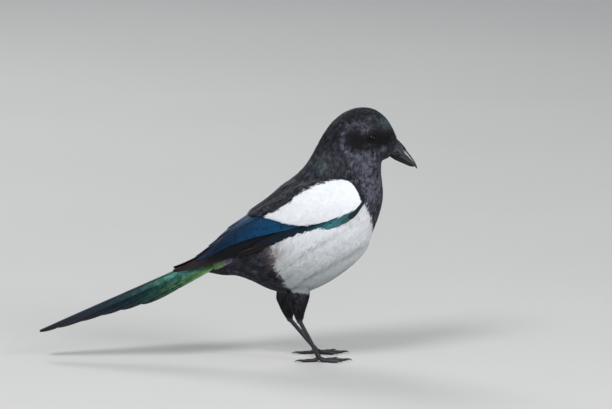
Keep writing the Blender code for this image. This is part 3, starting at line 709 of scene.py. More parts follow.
def scatter(
    sheet: Sheet, spans: tuple[float, float, float, float],
    density: Callable[[Array, Array, Array], Array], rng: Random,
) -> tuple[Array, Array]:
    """Evenly spread places over a sheet.

    Args:
        sheet: The surface.
        spans: First and last u, first and last v.
        density: Places for each square millimetre, from u, v and the points there.
        rng: The source of the jitter.

    Returns:
        The coordinates u and v of the places.
    """
    cells = 120
    u_edges = np.linspace(spans[0], spans[1], cells + 1)
    v_edges = np.linspace(spans[2], spans[3], cells + 1)
    u, v = np.meshgrid(
        (u_edges[1:] + u_edges[:-1]) / 2, (v_edges[1:] + v_edges[:-1]) / 2, indexing="ij"
    )
    ahead, cross, _ = sheet.slopes(u, v)
    cell = (u_edges[1] - u_edges[0]) * (v_edges[1] - v_edges[0])
    weight = np.linalg.norm(np.cross(ahead, cross), axis=-1) * cell
    weight = weight * density(u, v, sheet.at(u, v)) + 1e-9
    count = max(1, int(weight.sum()))
    order = np.arange(count)
    first, second = ((0.5 + order / PLASTIC_NUMBER**power) % 1.0 for power in (1, 2))
    totals = np.concatenate([[0.0], np.cumsum(weight.sum(1))])
    place = np.interp(first, totals / totals[-1], np.arange(cells + 1))
    row = np.minimum(place.astype(int), cells - 1)
    shares = np.concatenate([np.zeros((cells, 1)), np.cumsum(weight, 1)], 1)
    shares /= shares[:, -1:]
    column = np.clip((shares[row] <= second[:, None]).sum(1) - 1, 0, cells - 1)
    low, high = shares[row, column], shares[row, column + 1]
    within = (second - low) / np.maximum(high - low, TINY)
    u = u_edges[0] + (place + rng.uniform(-0.3, 0.3, count)) * (u_edges[1] - u_edges[0])
    v = v_edges[0] + (column + within) * (v_edges[1] - v_edges[0])
    return np.clip(u, *sorted(spans[:2])), v


@dataclass(frozen=True)
class Tuft:
    """One kind of tuft: a fan of tapered, three-sided barbs lying along a sheet."""

    barbs: int = 4
    fan: float = 14.0
    pitch: float = 1.5
    # How far along a barb its stops are, how wide it is at all but the last, and how raised.
    stops: tuple[float, ...] = (0.0, 0.55, 1.0)
    swell: tuple[float, ...] = (0.7, 1.0)
    rise: tuple[float, ...] = (0.0, 0.85, 1.0)
    ridge: float = 0.45
    ruffle: float = 0.10
    round_off: float = 0.45
    patch: float = 0.003

    def grow(
        self, sheet: Sheet, u: Array, v: Array, lie: Array, sizes: dict[str, Array],
        unwrap: Array, rng: Random,
    ) -> Shape:
        """Grows a tuft at each place.

        Args:
            sheet: The surface they lie on.
            u: First coordinate of each root.
            v: Second coordinate of each root.
            lie: Angle of each tuft from the sheet's first slope.
            sizes: For each tuft, or for all, the length, half width of a barb, low and high
                height, and how wild the normals are.
            unwrap: Each root's place on the bake map.
            rng: The source of what varies.

        Returns:
            The joined tufts, with the place of each point along its tuft as a mark.
        """
        tufts, barbs = len(u), self.barbs
        sizes = {name: np.broadcast_to(values, tufts) for name, values in sizes.items()}
        order = np.arange(barbs) - (barbs - 1) / 2
        angle = lie[:, None] + math.radians(self.fan) * order / max(1, barbs - 1)
        angle = angle + rng.normal(0.0, self.ruffle * 0.5, (tufts, barbs))
        length = sizes["length"][:, None] * (1 - 0.16 * (2 * order / max(1, barbs)) ** 2)
        length = length * rng.uniform(0.84, 1.1, (tufts, barbs))
        half = sizes["width"][:, None] * rng.uniform(0.85, 1.15, (tufts, barbs))
        root = order * half * self.pitch
        ways, sides, rise, ridge = self.barb()
        out = length[..., None] * ways
        across = root[..., None] + half[..., None] * sides
        cos, sin = np.cos(angle)[..., None], np.sin(angle)[..., None]
        ahead = out * cos - across * sin
        aside = out * sin + across * cos
        stretch, skew, grip = sheet.grips(u, v)
        move_v = aside / grip[:, None, None]
        move_u = (ahead - skew[:, None, None] * move_v) / stretch[:, None, None]
        low, high = sizes["low"][:, None, None], sizes["high"][:, None, None]
        lift = rng.uniform(0.75, 1.0, (tufts, barbs, 1)) * (high - low)
        height = low + lift * rise + half[..., None] * self.ridge * ridge
        to_u, to_v = u[:, None, None] + move_u, v[:, None, None] + move_v
        points = sheet.raised(to_u, to_v, height)
        _, cross, normal = sheet.slopes(to_u[..., 3], to_v[..., 3])
        lean = unit(cross) * np.sign(grip)[:, None, None]
        lean = lean[:, :, None] * (sides * self.round_off)[:, None]
        wild = rng.normal(0.0, 1.0, (tufts, barbs, 1, 3)) * sizes["wild"][:, None, None, None]
        normals = unit(normal[:, :, None] + lean + wild)
        size = len(ways)
        faces = self.barb_faces()[None] + (np.arange(tufts * barbs) * size)[:, None, None]
        spot = together(across / (2 * np.abs(across).max() + 1e-9), ways - 0.5)
        unwrap = unwrap[:, None, None] + spot * self.patch
        whole = (tufts, barbs, size)
        return faced_by_first(
            Shape(
                points.reshape(-1, 3), faces.reshape(-1, 3), normals.reshape(-1, 3),
                {"reach": np.broadcast_to(ways, whole).reshape(-1)}, unwrap.reshape(-1, 2),
            )
        )

    def barb(self) -> Array:
        """For each point of a barb its way along, side, rise and ridge, the tip last.

        Returns:
            Four rows of values.
        """
        rows = []
        for way, swell, rise in zip(self.stops, self.swell, self.rise):
            for side, ridge in ((-1.0, 0.0), (1.0, 0.0), (0.0, 1.0)):
                rows.append((way, side * swell, rise, ridge * swell))
        return np.array(rows + [(1.0, 0.0, self.rise[-1], 0.0)]).T

    def barb_faces(self) -> Array:
        """The triangles of one barb: its root, the walls between its stops and its tip.

        Returns:
            Point numbers, three for each triangle.
        """
        faces = [(0, 2, 1)]
        ways = ((0, 1), (1, 2), (2, 0))
        tip = 3 * (len(self.stops) - 1)
        for a in range(0, tip - 3, 3):
            for one, two in ways:
                faces += [(a + one, a + two, a + 3 + two), (a + one, a + 3 + two, a + 3 + one)]
        faces += [(tip - 3 + one, tip - 3 + two, tip) for one, two in ways]
        return np.array(faces)

    def mark(self, shape: Shape, marks: dict[str, Array | float]) -> None:
        """Gives marks of each tuft, or of all, to the points of a shape that was grown.

        Args:
            shape: The grown shape, which is changed.
            marks: Values by name.
        """
        each = self.barbs * self.barb().shape[1]
        for name, values in marks.items():
            whole = np.broadcast_to(np.asarray(values, float), len(shape.points) // each)
            shape.marks[name] = np.repeat(whole, each)


def faced_by_first(shape: Shape) -> Shape:
    """Turns all faces if those at the barbs' roots point the wrong way against the normals.

    Args:
        shape: The shape, which is changed.

    Returns:
        The same shape.
    """
    a, b, c = (shape.points[shape.faces[:, i]] for i in range(3))
    turn = np.sum(np.cross(b - a, c - a) * shape.normals[shape.faces[:, 0]])
    if turn < 0:
        shape.faces = shape.faces[:, ::-1]
    return shape


@dataclass(frozen=True)
class VaneKind:
    """The make of flight feathers: closed vanes with a shaft, cut edges and a rounded tip."""

    rows: int = 44
    columns: int = 9
    thickness: float = 0.16
    camber: float = 0.25
    tilt: float = 0.08
    tip_from: float = 0.72
    tip_power: float = 2.0
    slits: int = 2
    shaft: float = 0.34
    shaft_sides: int = 5

    def lay(
        self, sheet: Sheet, roots: Array, tips: Array, widths: Array, lifts: Array,
        rng: Random,
    ) -> Shape:
        """Lays one vane for each root along the sheet.

        Args:
            sheet: The surface they lie on.
            roots: Sheet coordinates of each root.
            tips: Sheet coordinates of each tip.
            widths: Half width of each towards lower and towards higher v.
            lifts: Height of each over the sheet at root and tip.
            rng: The source of what varies.

        Returns:
            The joined vanes, with marks for how far along and across each point lies.
        """
        count = len(roots)
        t = np.linspace(0.0, 1.0, self.rows)
        outline = np.minimum(1.0, 0.45 + 2.2 * t)
        past = held(t - self.tip_from) / (1.002 - self.tip_from)
        outline = outline * np.sqrt(np.clip(1 - past**self.tip_power, 0.002, 1.0))
        way = tips - roots
        u = roots[:, :1] + way[:, :1] * t
        v = roots[:, 1:] + way[:, 1:] * t
        ahead, cross, normal = sheet.slopes(u, v)
        forward = unit(ahead * way[:, :1, None] + cross * way[:, 1:, None])
        sideways = unit(np.cross(normal, forward))
        sideways = sideways * np.sign(dot(sideways, cross))
        stretch, skew, grip = sheet.grips(u, v)
        first = unit(ahead)
        step_v = (dot(sideways, np.cross(normal, first))[..., 0]) / grip
        step_u = (dot(sideways, first)[..., 0] - skew * step_v) / stretch
        place = np.linspace(-1.0, 1.0, self.columns)
        half = np.where(place < 0, widths[:, :1], widths[:, 1:])[:, None] * outline[None, :, None]
        across = place * half
        for edge in (0, self.columns - 1):
            for _ in range(self.slits):
                where = rng.uniform(0.45, 0.97, (count, 1))
                deep = rng.uniform(0.02, 0.10, (count, 1))
                across[:, :, edge] *= 1 - deep * hump(t, where, 0.009)
        rise = lifts[:, :1] + (lifts[:, 1:] - lifts[:, :1]) * t
        height = rise[..., None] + self.tilt * across - self.camber * place**2
        to_u = u[..., None] + step_u[..., None] * across
        to_v = v[..., None] + step_v[..., None] * across
        deep = self.thickness * (1 - 0.6 * place**2)
        top = sheet.raised(to_u, to_v, height)
        low = sheet.raised(to_u, to_v, height - deep)
        cells = self.rows * self.columns
        points = np.concatenate([top.reshape(count, cells, 3), low.reshape(count, cells, 3)], 1)
        faces = slab_faces(self.rows, self.columns)
        faces = faces[None] + (np.arange(count) * 2 * cells)[:, None, None]
        span = np.linalg.norm(np.diff(sheet.at(u, v), axis=1), axis=-1)
        span = np.concatenate([np.zeros((count, 1)), np.cumsum(span, 1)], 1)
        whole = (count, self.rows, self.columns)

        def twice(values: Array) -> Array:
            """The same marks for a vane's top and foot."""
            flat = np.broadcast_to(values, whole).reshape(count, cells)
            return np.concatenate([flat, flat], 1).reshape(-1)

        tone = rng.uniform(0.0, 1.0, (count, 1, 1))
        rank = (np.arange(count) / max(1, count - 1))[:, None, None]
        lane = (np.arange(count)[:, None, None] + 0.5 + 0.44 * place) / count
        marks = {
            "reach": twice(t[None, :, None]), "along": twice(span[..., None]),
            "across": twice(across), "edge": twice(np.abs(place)), "tone": twice(tone),
            "rank": twice(rank), "shaft": twice(np.zeros(1)),
        }
        unwrap = together(twice(lane), twice(0.02 + 0.96 * t[None, :, None]))
        vanes = Shape(points.reshape(-1, 3), faces.reshape(-1, 3), None, marks, unwrap)
        shafts = self.shafts(sheet, u, v, rise, t, vanes, cells)
        return Shape.joined([self.outwards(vanes, sheet, u, v, faces)] + shafts)

    def outwards(self, vanes: Shape, sheet: Sheet, u: Array, v: Array, faces: Array) -> Shape:
        """Turns the vanes' faces so that their tops look away from the sheet.

        Args:
            vanes: The vanes' shape.
            sheet: The surface.
            u: First coordinates.
            v: Second coordinates.
            faces: Point numbers, vane by vane.

        Returns:
            The same shape.
        """
        a, b, c = (vanes.points[faces[0, 0, i]] for i in range(3))
        normal = sheet.slopes(u[:1, :1], v[:1, :1])[2][0, 0]
        if np.cross(b - a, c - a) @ normal < 0:
            vanes.faces = vanes.faces[:, ::-1]
        return vanes

    def shafts(
        self, sheet: Sheet, u: Array, v: Array, rise: Array, t: Array, vanes: Shape, cells: int,
    ) -> list[Shape]:
        """The shafts on the vanes, one closed tapered stalk each.

        Args:
            sheet: The surface.
            u: First coordinates.
            v: Second coordinates.
            rise: Height over the sheet along each.
            t: Shares of the length.
            vanes: The vanes' shape.
            cells: Points on top of a vane.

        Returns:
            One shape for each vane.
        """
        shafts = []
        stops = np.linspace(0, len(t) - 2, 12).astype(int)
        for i in range(len(u)):
            centres = sheet.raised(u[i, stops], v[i, stops], rise[i, stops] - 0.02)
            radii = self.shaft * (1 - 0.8 * t[stops])
            shaft = ring_tube(tube_along(centres, radii, self.shaft_sides))
            nearest = np.concatenate([np.repeat(stops, self.shaft_sides), stops[:1], stops[-1:]])
            source = i * 2 * cells + nearest * self.columns + self.columns // 2
            shaft.marks = {name: values[source] for name, values in vanes.marks.items()}
            shaft.marks["shaft"] = np.ones(len(shaft.points))
            shaft.unwrap = vanes.unwrap[source]
            shafts.append(shaft)
        return shafts


class Value:
    """A shader's number on which Python's operators add Math nodes."""

    def __init__(self, graph: Graph, socket: Socket) -> None:
        self.graph = graph
        self.socket = socket

    def maths(self, operation: str, *others: Value | float) -> Value:
        """One Math node on this value and others."""
        node = self.graph.node(
            "ShaderNodeMath", {"operation": operation}, dict(enumerate((self, *others)))
        )
        return Value(self.graph, node.outputs[0])

    def __add__(self, other: Value | float) -> Value:
        """Sum."""
        return self.maths("ADD", other)

    __radd__ = __add__

    def __mul__(self, other: Value | float) -> Value:
        """Product."""
        return self.maths("MULTIPLY", other)

    __rmul__ = __mul__

    def __sub__(self, other: Value | float) -> Value:
        """Difference."""
        return self.maths("SUBTRACT", other)

    def __rsub__(self, other: float) -> Value:
        """Difference with the number first."""
        return (self * -1.0) + other

    def __truediv__(self, other: float) -> Value:
        """Share of a number."""
        return self.maths("DIVIDE", other)

    def __pow__(self, other: float) -> Value:
        """Power."""
        return self.maths("POWER", other)

    def sine(self) -> Value:
        """Sine."""
        return self.maths("SINE")

    def held(self) -> Value:
        """The value held between nought and one."""
        return self.maths("MINIMUM", 1.0).maths("MAXIMUM", 0.0)

    def size(self) -> Value:
        """The value without its sign."""
        return self.maths("ABSOLUTE")

    def step(self, low: float, high: float) -> Value:
        """Smoothly nought below low and one above high."""
        node = self.graph.node(
            "ShaderNodeMapRange", {"interpolation_type": "SMOOTHSTEP"},
            {"Value": self, "From Min": low, "From Max": high},
        )
        return Value(self.graph, node.outputs[0])


class Graph:
    """The node tree of one material."""

    def __init__(self, name: str) -> None:
        self.material = bpy.data.materials.new(name)
        self.material.use_nodes = True
        self.tree = self.material.node_tree
        self.shader = self.tree.nodes["Principled BSDF"]

    def node(self, kind: str, settings: dict, inputs: dict) -> bpy.types.Node:
        """Adds a node.

        Args:
            kind: Its type.
            settings: Its own settings, set first.
            inputs: A value or link for each socket, by name or number.

        Returns:
            The node.
        """
        node = self.tree.nodes.new(kind)
        for name, setting in settings.items():
            if name == "stops":
                ramp = node.color_ramp
                while len(ramp.elements) < len(setting):
                    ramp.elements.new(0.5)
                for element, (place, colour) in zip(ramp.elements, setting):
                    element.position = place
                    element.color = (*colour, 1.0)
            else:
                setattr(node, name, setting)
        self.fill(node, inputs)
        return node

    def fill(self, node: bpy.types.Node, inputs: dict) -> None:
        """Sets or links sockets of a node by name or number.

        Args:
            node: The node.
            inputs: A value or link for each socket.
        """
        for name, given in inputs.items():
            socket = node.inputs[name]
            if isinstance(given, Value):
                given = given.socket
            if isinstance(given, Socket):
                self.tree.links.new(given, socket)
            elif isinstance(given, tuple):
                socket.default_value = (*given, 1.0)
            else:
                socket.default_value = given

    def mark(self, name: str) -> Value:
        """A mark that the mesh carries."""
        node = self.node("ShaderNodeAttribute", {"attribute_name": name}, {})
        return Value(self, node.outputs["Fac"])

    def noise(self, scale: float, detail: float) -> Value:
        """Cloudy noise between nought and one, over the point on the bird in metres.

        Args:
            scale: Clouds to a metre.
            detail: How fine it gets.

        Returns:
            The noise.
        """
        where = self.node("ShaderNodeTexCoord", {}, {}).outputs["Object"]
        node = self.node(
            "ShaderNodeTexNoise", {}, {"Vector": where, "Scale": scale, "Detail": detail}
        )
        return Value(self, node.outputs["Fac"])

    def mix(self, share: Value | float, one: object, two: object) -> Socket:
        """A colour between two."""
        node = self.node(
            "ShaderNodeMix", {"data_type": "RGBA"}, {0: share, 6: one, 7: two}
        )
        return node.outputs[2]

    def ramp(self, share: Value, stops: tuple) -> Socket:
        """A colour from stops of place and colour."""
        node = self.node("ShaderNodeValToRGB", {"stops": stops}, {"Fac": share})
        return node.outputs["Color"]

    def relief(self, height: Value, strength: float, depth: float) -> None:
        """Feeds a height to the shader's normal."""
        node = self.node(
            "ShaderNodeBump", {}, {"Height": height, "Strength": strength, "Distance": depth}
        )
        self.feed({"Normal": node.outputs[0]})

    def feed(self, inputs: dict[str, object]) -> None:
        """Sets or links sockets of the shader itself."""
        self.fill(self.shader, inputs)


@dataclass(frozen=True)
class PlumageFinish:
    """Body plumage, black with a painted slate sheen or white with painted shade, by the marks on
    each tuft.
    """

    black: Colour = (0.0045, 0.0042, 0.0056)
    # The painted sheen colour towards which the black gleams.
    sheen_slate: Colour = (0.138, 0.144, 0.190)
    # The painted green sheen colour.
    green: Colour = (0.070, 0.110, 0.098)
    white: Colour = (0.83, 0.85, 0.89)
    # The painted shade colour towards which the white greys.
    shade_grey: Colour = (0.24, 0.27, 0.27)
    buff: Colour = (0.27, 0.215, 0.205)

    def material(self) -> Material:
        """The finish as a material.

        Returns:
            The new material.
        """
        graph = Graph("plumage")
        white, gleam = graph.mark("white"), graph.mark("gleam")
        patchy = graph.noise(320.0, 3.0)
        # Painted sheen: the gleam mark lightens the black towards the slate sheen colour.
        glow = (gleam * (0.5 + patchy)).held() ** 1.9
        dark = graph.mix(glow, self.black, self.sheen_slate)
        # A painted green sheen where the green mark is.
        dark = graph.mix((graph.mark("green") * (0.4 + patchy)).held(), dark, self.green)
        # Painted shade: the shade mark, with some noise, greys the white.
        streak = graph.mark("shade") + (patchy - 0.5) * 0.22
        light = graph.mix(streak.held(), self.white, self.shade_grey)
        colour = graph.mix(white, dark, light)
        graph.feed(
            {
                "Base Color": graph.mix(graph.mark("buff"), colour, self.buff),
                "Roughness": 0.50 - gleam * 0.10 + white * 0.30,
                "Specular IOR Level": 0.13,
                "Sheen Weight": 0.02,
                "Sheen Roughness": 0.35,
                "Sheen Tint": (0.62, 0.70, 1.0),
            }
        )
        return graph.material


@dataclass(frozen=True)
class VaneFinish:
    """Flight feathers: colour along the vane, fine barb lines, a darker shaft and painted shadow
    along the edges.
    """

    name: str
    stops: tuple
    # The colour of the painted shadow along the edges, of the darker tones and of the dark slit
    # lines.
    deep: Colour
    shaft: Colour = (0.006, 0.006, 0.008)
    metal: float = 0.5
    rough: float = 0.36
    gloss: float = 0.25
    span: float = 0.0
    by_rank: float = 0.0
    mottle: float = 0.3
    barb_pitch: float = 0.42
    # How strong the painted edge shadow, barb lines and darker tones are.
    dim: float = 0.7
    slits: float = 0.8
    # A second ramp for the lowest ranks, and a colour for worn edges near the tip.
    low_stops: tuple = ()
    worn: Colour = (0.13, 0.095, 0.090)
    wear: float = 0.0

    def material(self) -> Material:
        """The finish as a material.

        Returns:
            The new material.
        """
        graph = Graph(self.name)
        reach, across, lengthwise = graph.mark("reach"), graph.mark("across"), graph.mark("along")
        rank, tone, edge = graph.mark("rank"), graph.mark("tone"), graph.mark("edge")
        lines = ((lengthwise - across.size() * 1.3) * (TURN / self.barb_pitch)).sine()
        spots = graph.noise(210.0, 4.0)
        base = lengthwise / self.span if self.span else reach
        base = base * (1 - self.by_rank) + rank * self.by_rank
        base = (base + (spots - 0.5) * self.mottle + (tone - 0.5) * 0.10).held()
        colour = graph.ramp(base, self.stops)
        if self.low_stops:
            colour = graph.mix(rank.step(0.42, 0.62), graph.ramp(base, self.low_stops), colour)
        # Darker towards the edges, a painted shadow where the vanes overlap, with barb lines,
        # random tone and spots.
        dark = (edge**4.0) * 0.55 + lines * 0.08 + (0.5 - tone) * 0.30 + (spots - 0.5) * 0.5
        barb = lengthwise - across.size() * 1.3 + tone * 60.0
        slit = ((barb * 0.41).sine() * (barb * 0.173 + 1.0).sine()).step(0.93, 0.99)
        dark = dark * self.dim + slit * edge.step(0.25, 0.6) * self.slits
        colour = graph.mix(dark.held(), colour, self.deep)
        if self.wear:
            worn = edge.step(0.72, 0.98) * reach.step(0.6, 0.85) * self.wear
            colour = graph.mix(worn, colour, self.worn)
        shaft = graph.mark("shaft")
        graph.feed(
            {
                "Base Color": graph.mix(shaft, colour, self.shaft),
                "Metallic": self.metal * (1 - shaft),
                "Roughness": self.rough + spots * 0.14 + lines * 0.03,
                "Specular IOR Level": self.gloss,
            }
        )
        graph.relief(lines, 0.5, 0.00006)
        return graph.material


@dataclass(frozen=True)
class HornFinish:
    """Horn, leg skin or lid skin, smooth or wrinkled."""

    name: str
    dark: Colour
    pale: Colour
    rough: float
    grain: float
    coat: float = 0.0
    depth: float = 0.00025
    uneven: float = 0.25
    gloss: float = 0.4

    def material(self) -> Material:
        """The finish as a material.

        Returns:
            The new material.
        """
        graph = Graph(self.name)
        wear, fine = graph.noise(140.0, 4.0), graph.noise(self.grain, 2.0)
        graph.feed(
            {
                "Base Color": graph.mix((wear * 1.6 - 0.45).held(), self.dark, self.pale),
                "Roughness": self.rough + (fine - 0.5) * self.uneven,
                "Specular IOR Level": self.gloss,
                "Coat Weight": self.coat,
                "Coat Roughness": 0.25,
            }
        )
        graph.relief(fine + wear * 0.6, 0.55, self.depth)
        return graph.material


@dataclass(frozen=True)
class EyeFinish:
    """A dark brown iris round a black pupil, wet all over."""

    pupil: Colour = (0.001, 0.001, 0.001)
    iris: Colour = (0.008, 0.0045, 0.003)
    rim: Colour = (0.004, 0.002, 0.001)

    def material(self) -> Material:
        """The finish as a material.

        Returns:
            The new material.
        """
        graph = Graph("eye")
        off = graph.mark("off_axis")
        rays = graph.noise(900.0, 3.0)
        iris = graph.mix((rays * 1.4 - 0.3).held(), self.iris, self.rim)
        iris = graph.mix(off.step(0.62, 0.86), iris, self.rim)
        graph.feed(
            {
                "Base Color": graph.mix(off.step(0.34, 0.40), self.pupil, iris),
                "Roughness": 0.35,
                "Specular IOR Level": 0.02,
                "Coat Weight": 0.35,
                "Coat Roughness": 0.03,
                "Coat IOR": 1.38,
            }
        )
        return graph.material


@dataclass(frozen=True)
class Markings:
    """Where the plumage is white, in side view from ten degrees above the floor."""

    # The bib's edge on the breast and the black vent's edge, as (height, x) from the foot up.
    bib: Rows = ((60.0, 400.0), (119.0, 400.0), (121.8, 137.6), (126.0, 136.6), (132.0, 135.8),
                 (138.0, 133.8), (145.0, 131.0), (149.5, 128.6), (151.0, 60.0), (166.0, 60.0))
    vent: Rows = ((58.5, 90.0), (61.8, 77.8), (62.8, 67.0), (64.0, 62.0), (66.3, 58.5),
                  (71.7, 53.0), (78.4, 48.3), (85.2, 44.5), (93.0, 42.0), (107.4, 38.9),
                  (118.0, 36.0), (126.0, 20.0))
    # The white shoulder patch, from its hind point along its upper edge and back.
    patch: Rows = ((30.5, 136.6), (41.0, 140.4), (54.1, 148.2), (63.6, 157.2), (78.8, 165.9),
                   (97.8, 172.4), (110.0, 173.4), (118.0, 170.4), (124.2, 162.6), (127.6, 154.0),
                   (128.4, 150.2), (120.0, 144.4), (107.3, 138.0), (88.3, 130.8), (69.3, 127.2),
                   (55.0, 128.4), (43.0, 132.0))
    # A line (x, z, x, z) over which the back is black.
    mantle: tuple[float, float, float, float] = (112.0, 178.0, 20.0, 118.0)

    def patch_outline(self, inset: float = 0.0) -> Array:
        """The shoulder patch as a smooth closed outline, drawn in by some millimetres.

        Args:
            inset: How far it is drawn in.

        Returns:
            Its corners in side view.
        """
        rows = self.patch[-1:] + self.patch + self.patch[:2]
        outline = along(rows, np.linspace(1.0, len(self.patch) + 1.0, 120)[:-1])
        way = unit(np.roll(outline, -1, axis=0) - np.roll(outline, 1, axis=0))
        return outline + inset * together(way[:, 1], -way[:, 0])

    def belly(self, points: Array) -> Array:
        """Whether body points are white.

        Args:
            points: Places on the bird.

        Returns:
            True or false for each.
        """
        places = seen(points)
        x, height = places[..., 0], places[..., 1]
        x1, z1, x2, z2 = self.mantle
        under = (x2 - x1) * (points[..., 2] - z1) - (z2 - z1) * (points[..., 0] - x1) > 0
        return (x < table(self.bib, 1, height)) & (x > table(self.vent, 1, height)) & under

    def shoulder(self, points: Array, inset: float = 0.0) -> Array:
        """Whether points on the wing lie in the white patch."""
        return inside(self.patch_outline(inset), seen(points))

    def mantle_end(self, points: Array) -> Array:
        """Whether points on the wing lie above the patch, where the mantle is black."""
        places = seen(points)
        upper = table(((0.0, 137.0),) + self.patch[:11], 1, places[..., 0])
        return (places[..., 1] > upper - 0.5) & (places[..., 0] > 17.0)


BODY = BodyForm()
MARKINGS = Markings()


@dataclass(frozen=True)
class Coat:
    """The skin of head, body and thighs, and the tufts over it."""

    # Place, depth of coat, tuft length, half width of a barb, tufts for each square millimetre.
    plan: Rows = (
        (0.0, 0.6, 2.4, 0.15, 2.8),
        (2.5, 0.8, 3.2, 0.17, 2.2),
        (5.0, 1.2, 5.0, 0.21, 1.3),
        (7.0, 1.5, 7.0, 0.26, 0.78),
        (9.0, 1.8, 9.5, 0.34, 0.495),
        (12.0, 2.1, 12.5, 0.47, 0.32),
        (15.0, 2.0, 10.5, 0.40, 0.405),
        (19.0, 1.0, 12.0, 0.38, 0.48),
    )
    parts: tuple[tuple[str, float, float], ...] = (
        ("face", 0.0, 2.9), ("crown", 2.9, 4.3), ("nape", 4.3, 6.0), ("neck", 6.0, 8.4),
        ("breast", 8.4, 11.0), ("belly", 11.0, 14.4), ("vent", 14.4, 19.0),
    )
    # How far the tips stand over the form.
    proud: float = 0.25
    # The bare eye's x, z and radius.
    eye: Triple = (137.6, 214.8, 4.7)
    # The ear's x and height, radius and width of the painted highlight arc behind it, and the
    # radius of its painted dark hollow.
    ear: tuple[float, ...] = (124.5, 209.0, 16.5, 2.4, 10.5)
    # Each row of these is x, z, radius and how much: where the throat has painted glint streaks,
    # where the black has more or less painted gleam, where it has a painted green sheen, and the
    # buff spot on the flank.
    throat: Rows = ((128.0, 192.0, 13.0, 1.0), (136.0, 168.0, 18.0, 1.0))
    gleams: Rows = (
        (131.0, 223.5, 5.5, 0.28), (146.0, 215.0, 9.5, -0.42), (147.5, 205.5, 3.2, 0.42),
        (152.5, 229.5, 5.5, 0.40), (106.0, 214.0, 10.0, -0.13), (90.0, 187.0, 9.0, 0.20),
        (118.0, 236.0, 11.0, -0.16), (132.0, 195.0, 8.0, 0.20), (140.0, 180.0, 9.0, -0.10),
        (121.0, 181.0, 6.0, -0.14), (140.0, 164.0, 12.0, 0.10),
    )
    green_sheens: Rows = ((152.0, 231.0, 7.0, 0.44), (86.0, 190.0, 9.0, 0.22))
    buff: Rows = ((45.0, 107.5, 8.5, 1.0),)
    # From this place on the painted gleam on the black is weaker by this much.
    rear: tuple[float, float] = (13.5, 0.04)
    # Painted shade: the height from which the white greys, over how much and up to what.
    shade_by_height: Triple = (140.0, 93.0, 0.62)
    # The same painted shade again on the underside between the legs, within a distance of the
    # middle plane.
    under: tuple[float, float, float, float] = (116.0, 26.0, 0.34, 20.0)
    rings: int = 190
    sides: int = 96
    thighs: dict = field(
        default_factory=lambda: {
            Side.RIGHT: ((70.0, 82.0, 10.2, 12.5), (68.0, 72.0, 10.8, 14.4),
                         (67.4, 62.0, 10.6, 18.0), (67.8, 54.5, 8.0, 19.5),
                         (68.2, 46.5, 5.1, 20.0), (68.6, 41.5, 3.7, 20.0)),
            Side.LEFT: ((62.0, 82.0, 10.2, 12.5), (59.0, 68.0, 11.0, 15.0),
                        (57.0, 55.5, 10.4, 19.0), (57.0, 47.5, 7.8, 19.8),
                        (58.0, 39.5, 5.0, 20.0), (58.8, 35.8, 3.7, 20.0)),
        }
    )

    def marks(self, points: Array, place: Array, streak: Array) -> dict[str, Array]:
        """What the finish reads at each point.

        Args:
            points: Where the tips come to lie.
            place: How far down the body they are.
            streak: The streaks of the lie there.

        Returns:
            The marks white, gleam and green (painted sheen), shade (painted shade) and buff.
        """
        sight = seen(points)
        x, height, radius, rim, hollow = self.ear
        away = np.hypot(sight[..., 0] - x, sight[..., 1] - height)
        arc = hump(away, radius, rim) * (sight[..., 0] < x + 5)
        throat = hills(points, self.throat)
        lively = 0.60 + 0.50 * np.minimum(1.0, throat)
        # Painted gleam: painted highlights on the ear's arc, the throat's streaks and the hills,
        # and painted shade in the ear's hollow and the duller hills.
        gleam = 0.29 + 0.32 * arc - 0.32 * hump(away, 0.0, hollow) + 0.19 * throat
        gleam = hills(points, self.gleams, gleam)
        gleam = np.where(place > self.rear[0], gleam - self.rear[1], gleam)
        # A painted green sheen on the forehead and the nape.
        green = hills(points, self.green_sheens)
        # Painted shade: the white greys downwards, more on the underside between the legs, and in
        # the folds, with a little random tone.
        start, over, most, within = self.under
        near = held(1.0 - np.abs(points[..., 1]) / within)
        shade = below(points[..., 2], *self.shade_by_height)
        shade = shade + most * near * below(points[..., 2], start, over)
        folds = np.maximum(0.0, self.folds(points)) * 0.40
        buff = hills(points, self.buff) * (0.62 + 0.3 * streak)
        return {
            "white": MARKINGS.belly(points).astype(float),
            "gleam": held(gleam * (1 + lively * streak) + 0.06 * streak),
            "green": held(green * (1 + 0.9 * streak)),
            "shade": held(shade + folds + 0.03 * streak),
            "buff": held(buff),
        }

    def folds(self, points: Array) -> Array:
        """Long soft folds of the white belly: between -1 and 1 along its lie.

        Args:
            points: Places on the bird.

        Returns:
            A value for each.
        """
        x, height = seen(points)[..., 0], seen(points)[..., 1]
        slant = height - 0.62 * (x - 60.0)
        wave = np.sin(slant * 0.36 + 0.8 * np.sin(x * 0.06)) * np.sin(slant * 0.13 + x * 0.02)
        flank = held((np.abs(points[..., 1]) - 8.0) / 14.0)
        return wave * flank * below(height, 135.0, 30.0)

    def lie(self, u: Array, v: Array, points: Array, rng: Random) -> Array:
        """Angle of the tufts from straight back, turned down the sides and round the eye.

        Args:
            u: First coordinates.
            v: Second coordinates.
            points: Places on the bird.
            rng: The source of what varies.

        Returns:
            An angle for each.
        """
        side = np.sign(np.sin(v))
        down = 0.10 + 0.22 * np.clip((u - 6.0) / 5.0, 0, 1) * np.abs(np.sin(v))
        ahead, above = points[..., 0] - self.eye[0] - 4, points[..., 2] - self.eye[1]
        near = np.exp(-(ahead**2 + above**2) / 90.0)
        turn = -side * (down - 0.7 * near * np.clip(above / 6.0, -1, 1))
        return turn + rng.normal(0.0, 0.09, u.shape)

    def hidden(self, points: Array) -> Array:
        """Whether a wing covers these points."""
        places = points[..., (0, 2)]
        return inside(WingSheet().rim(0.10), places) & (np.abs(points[..., 1]) > 4.0)

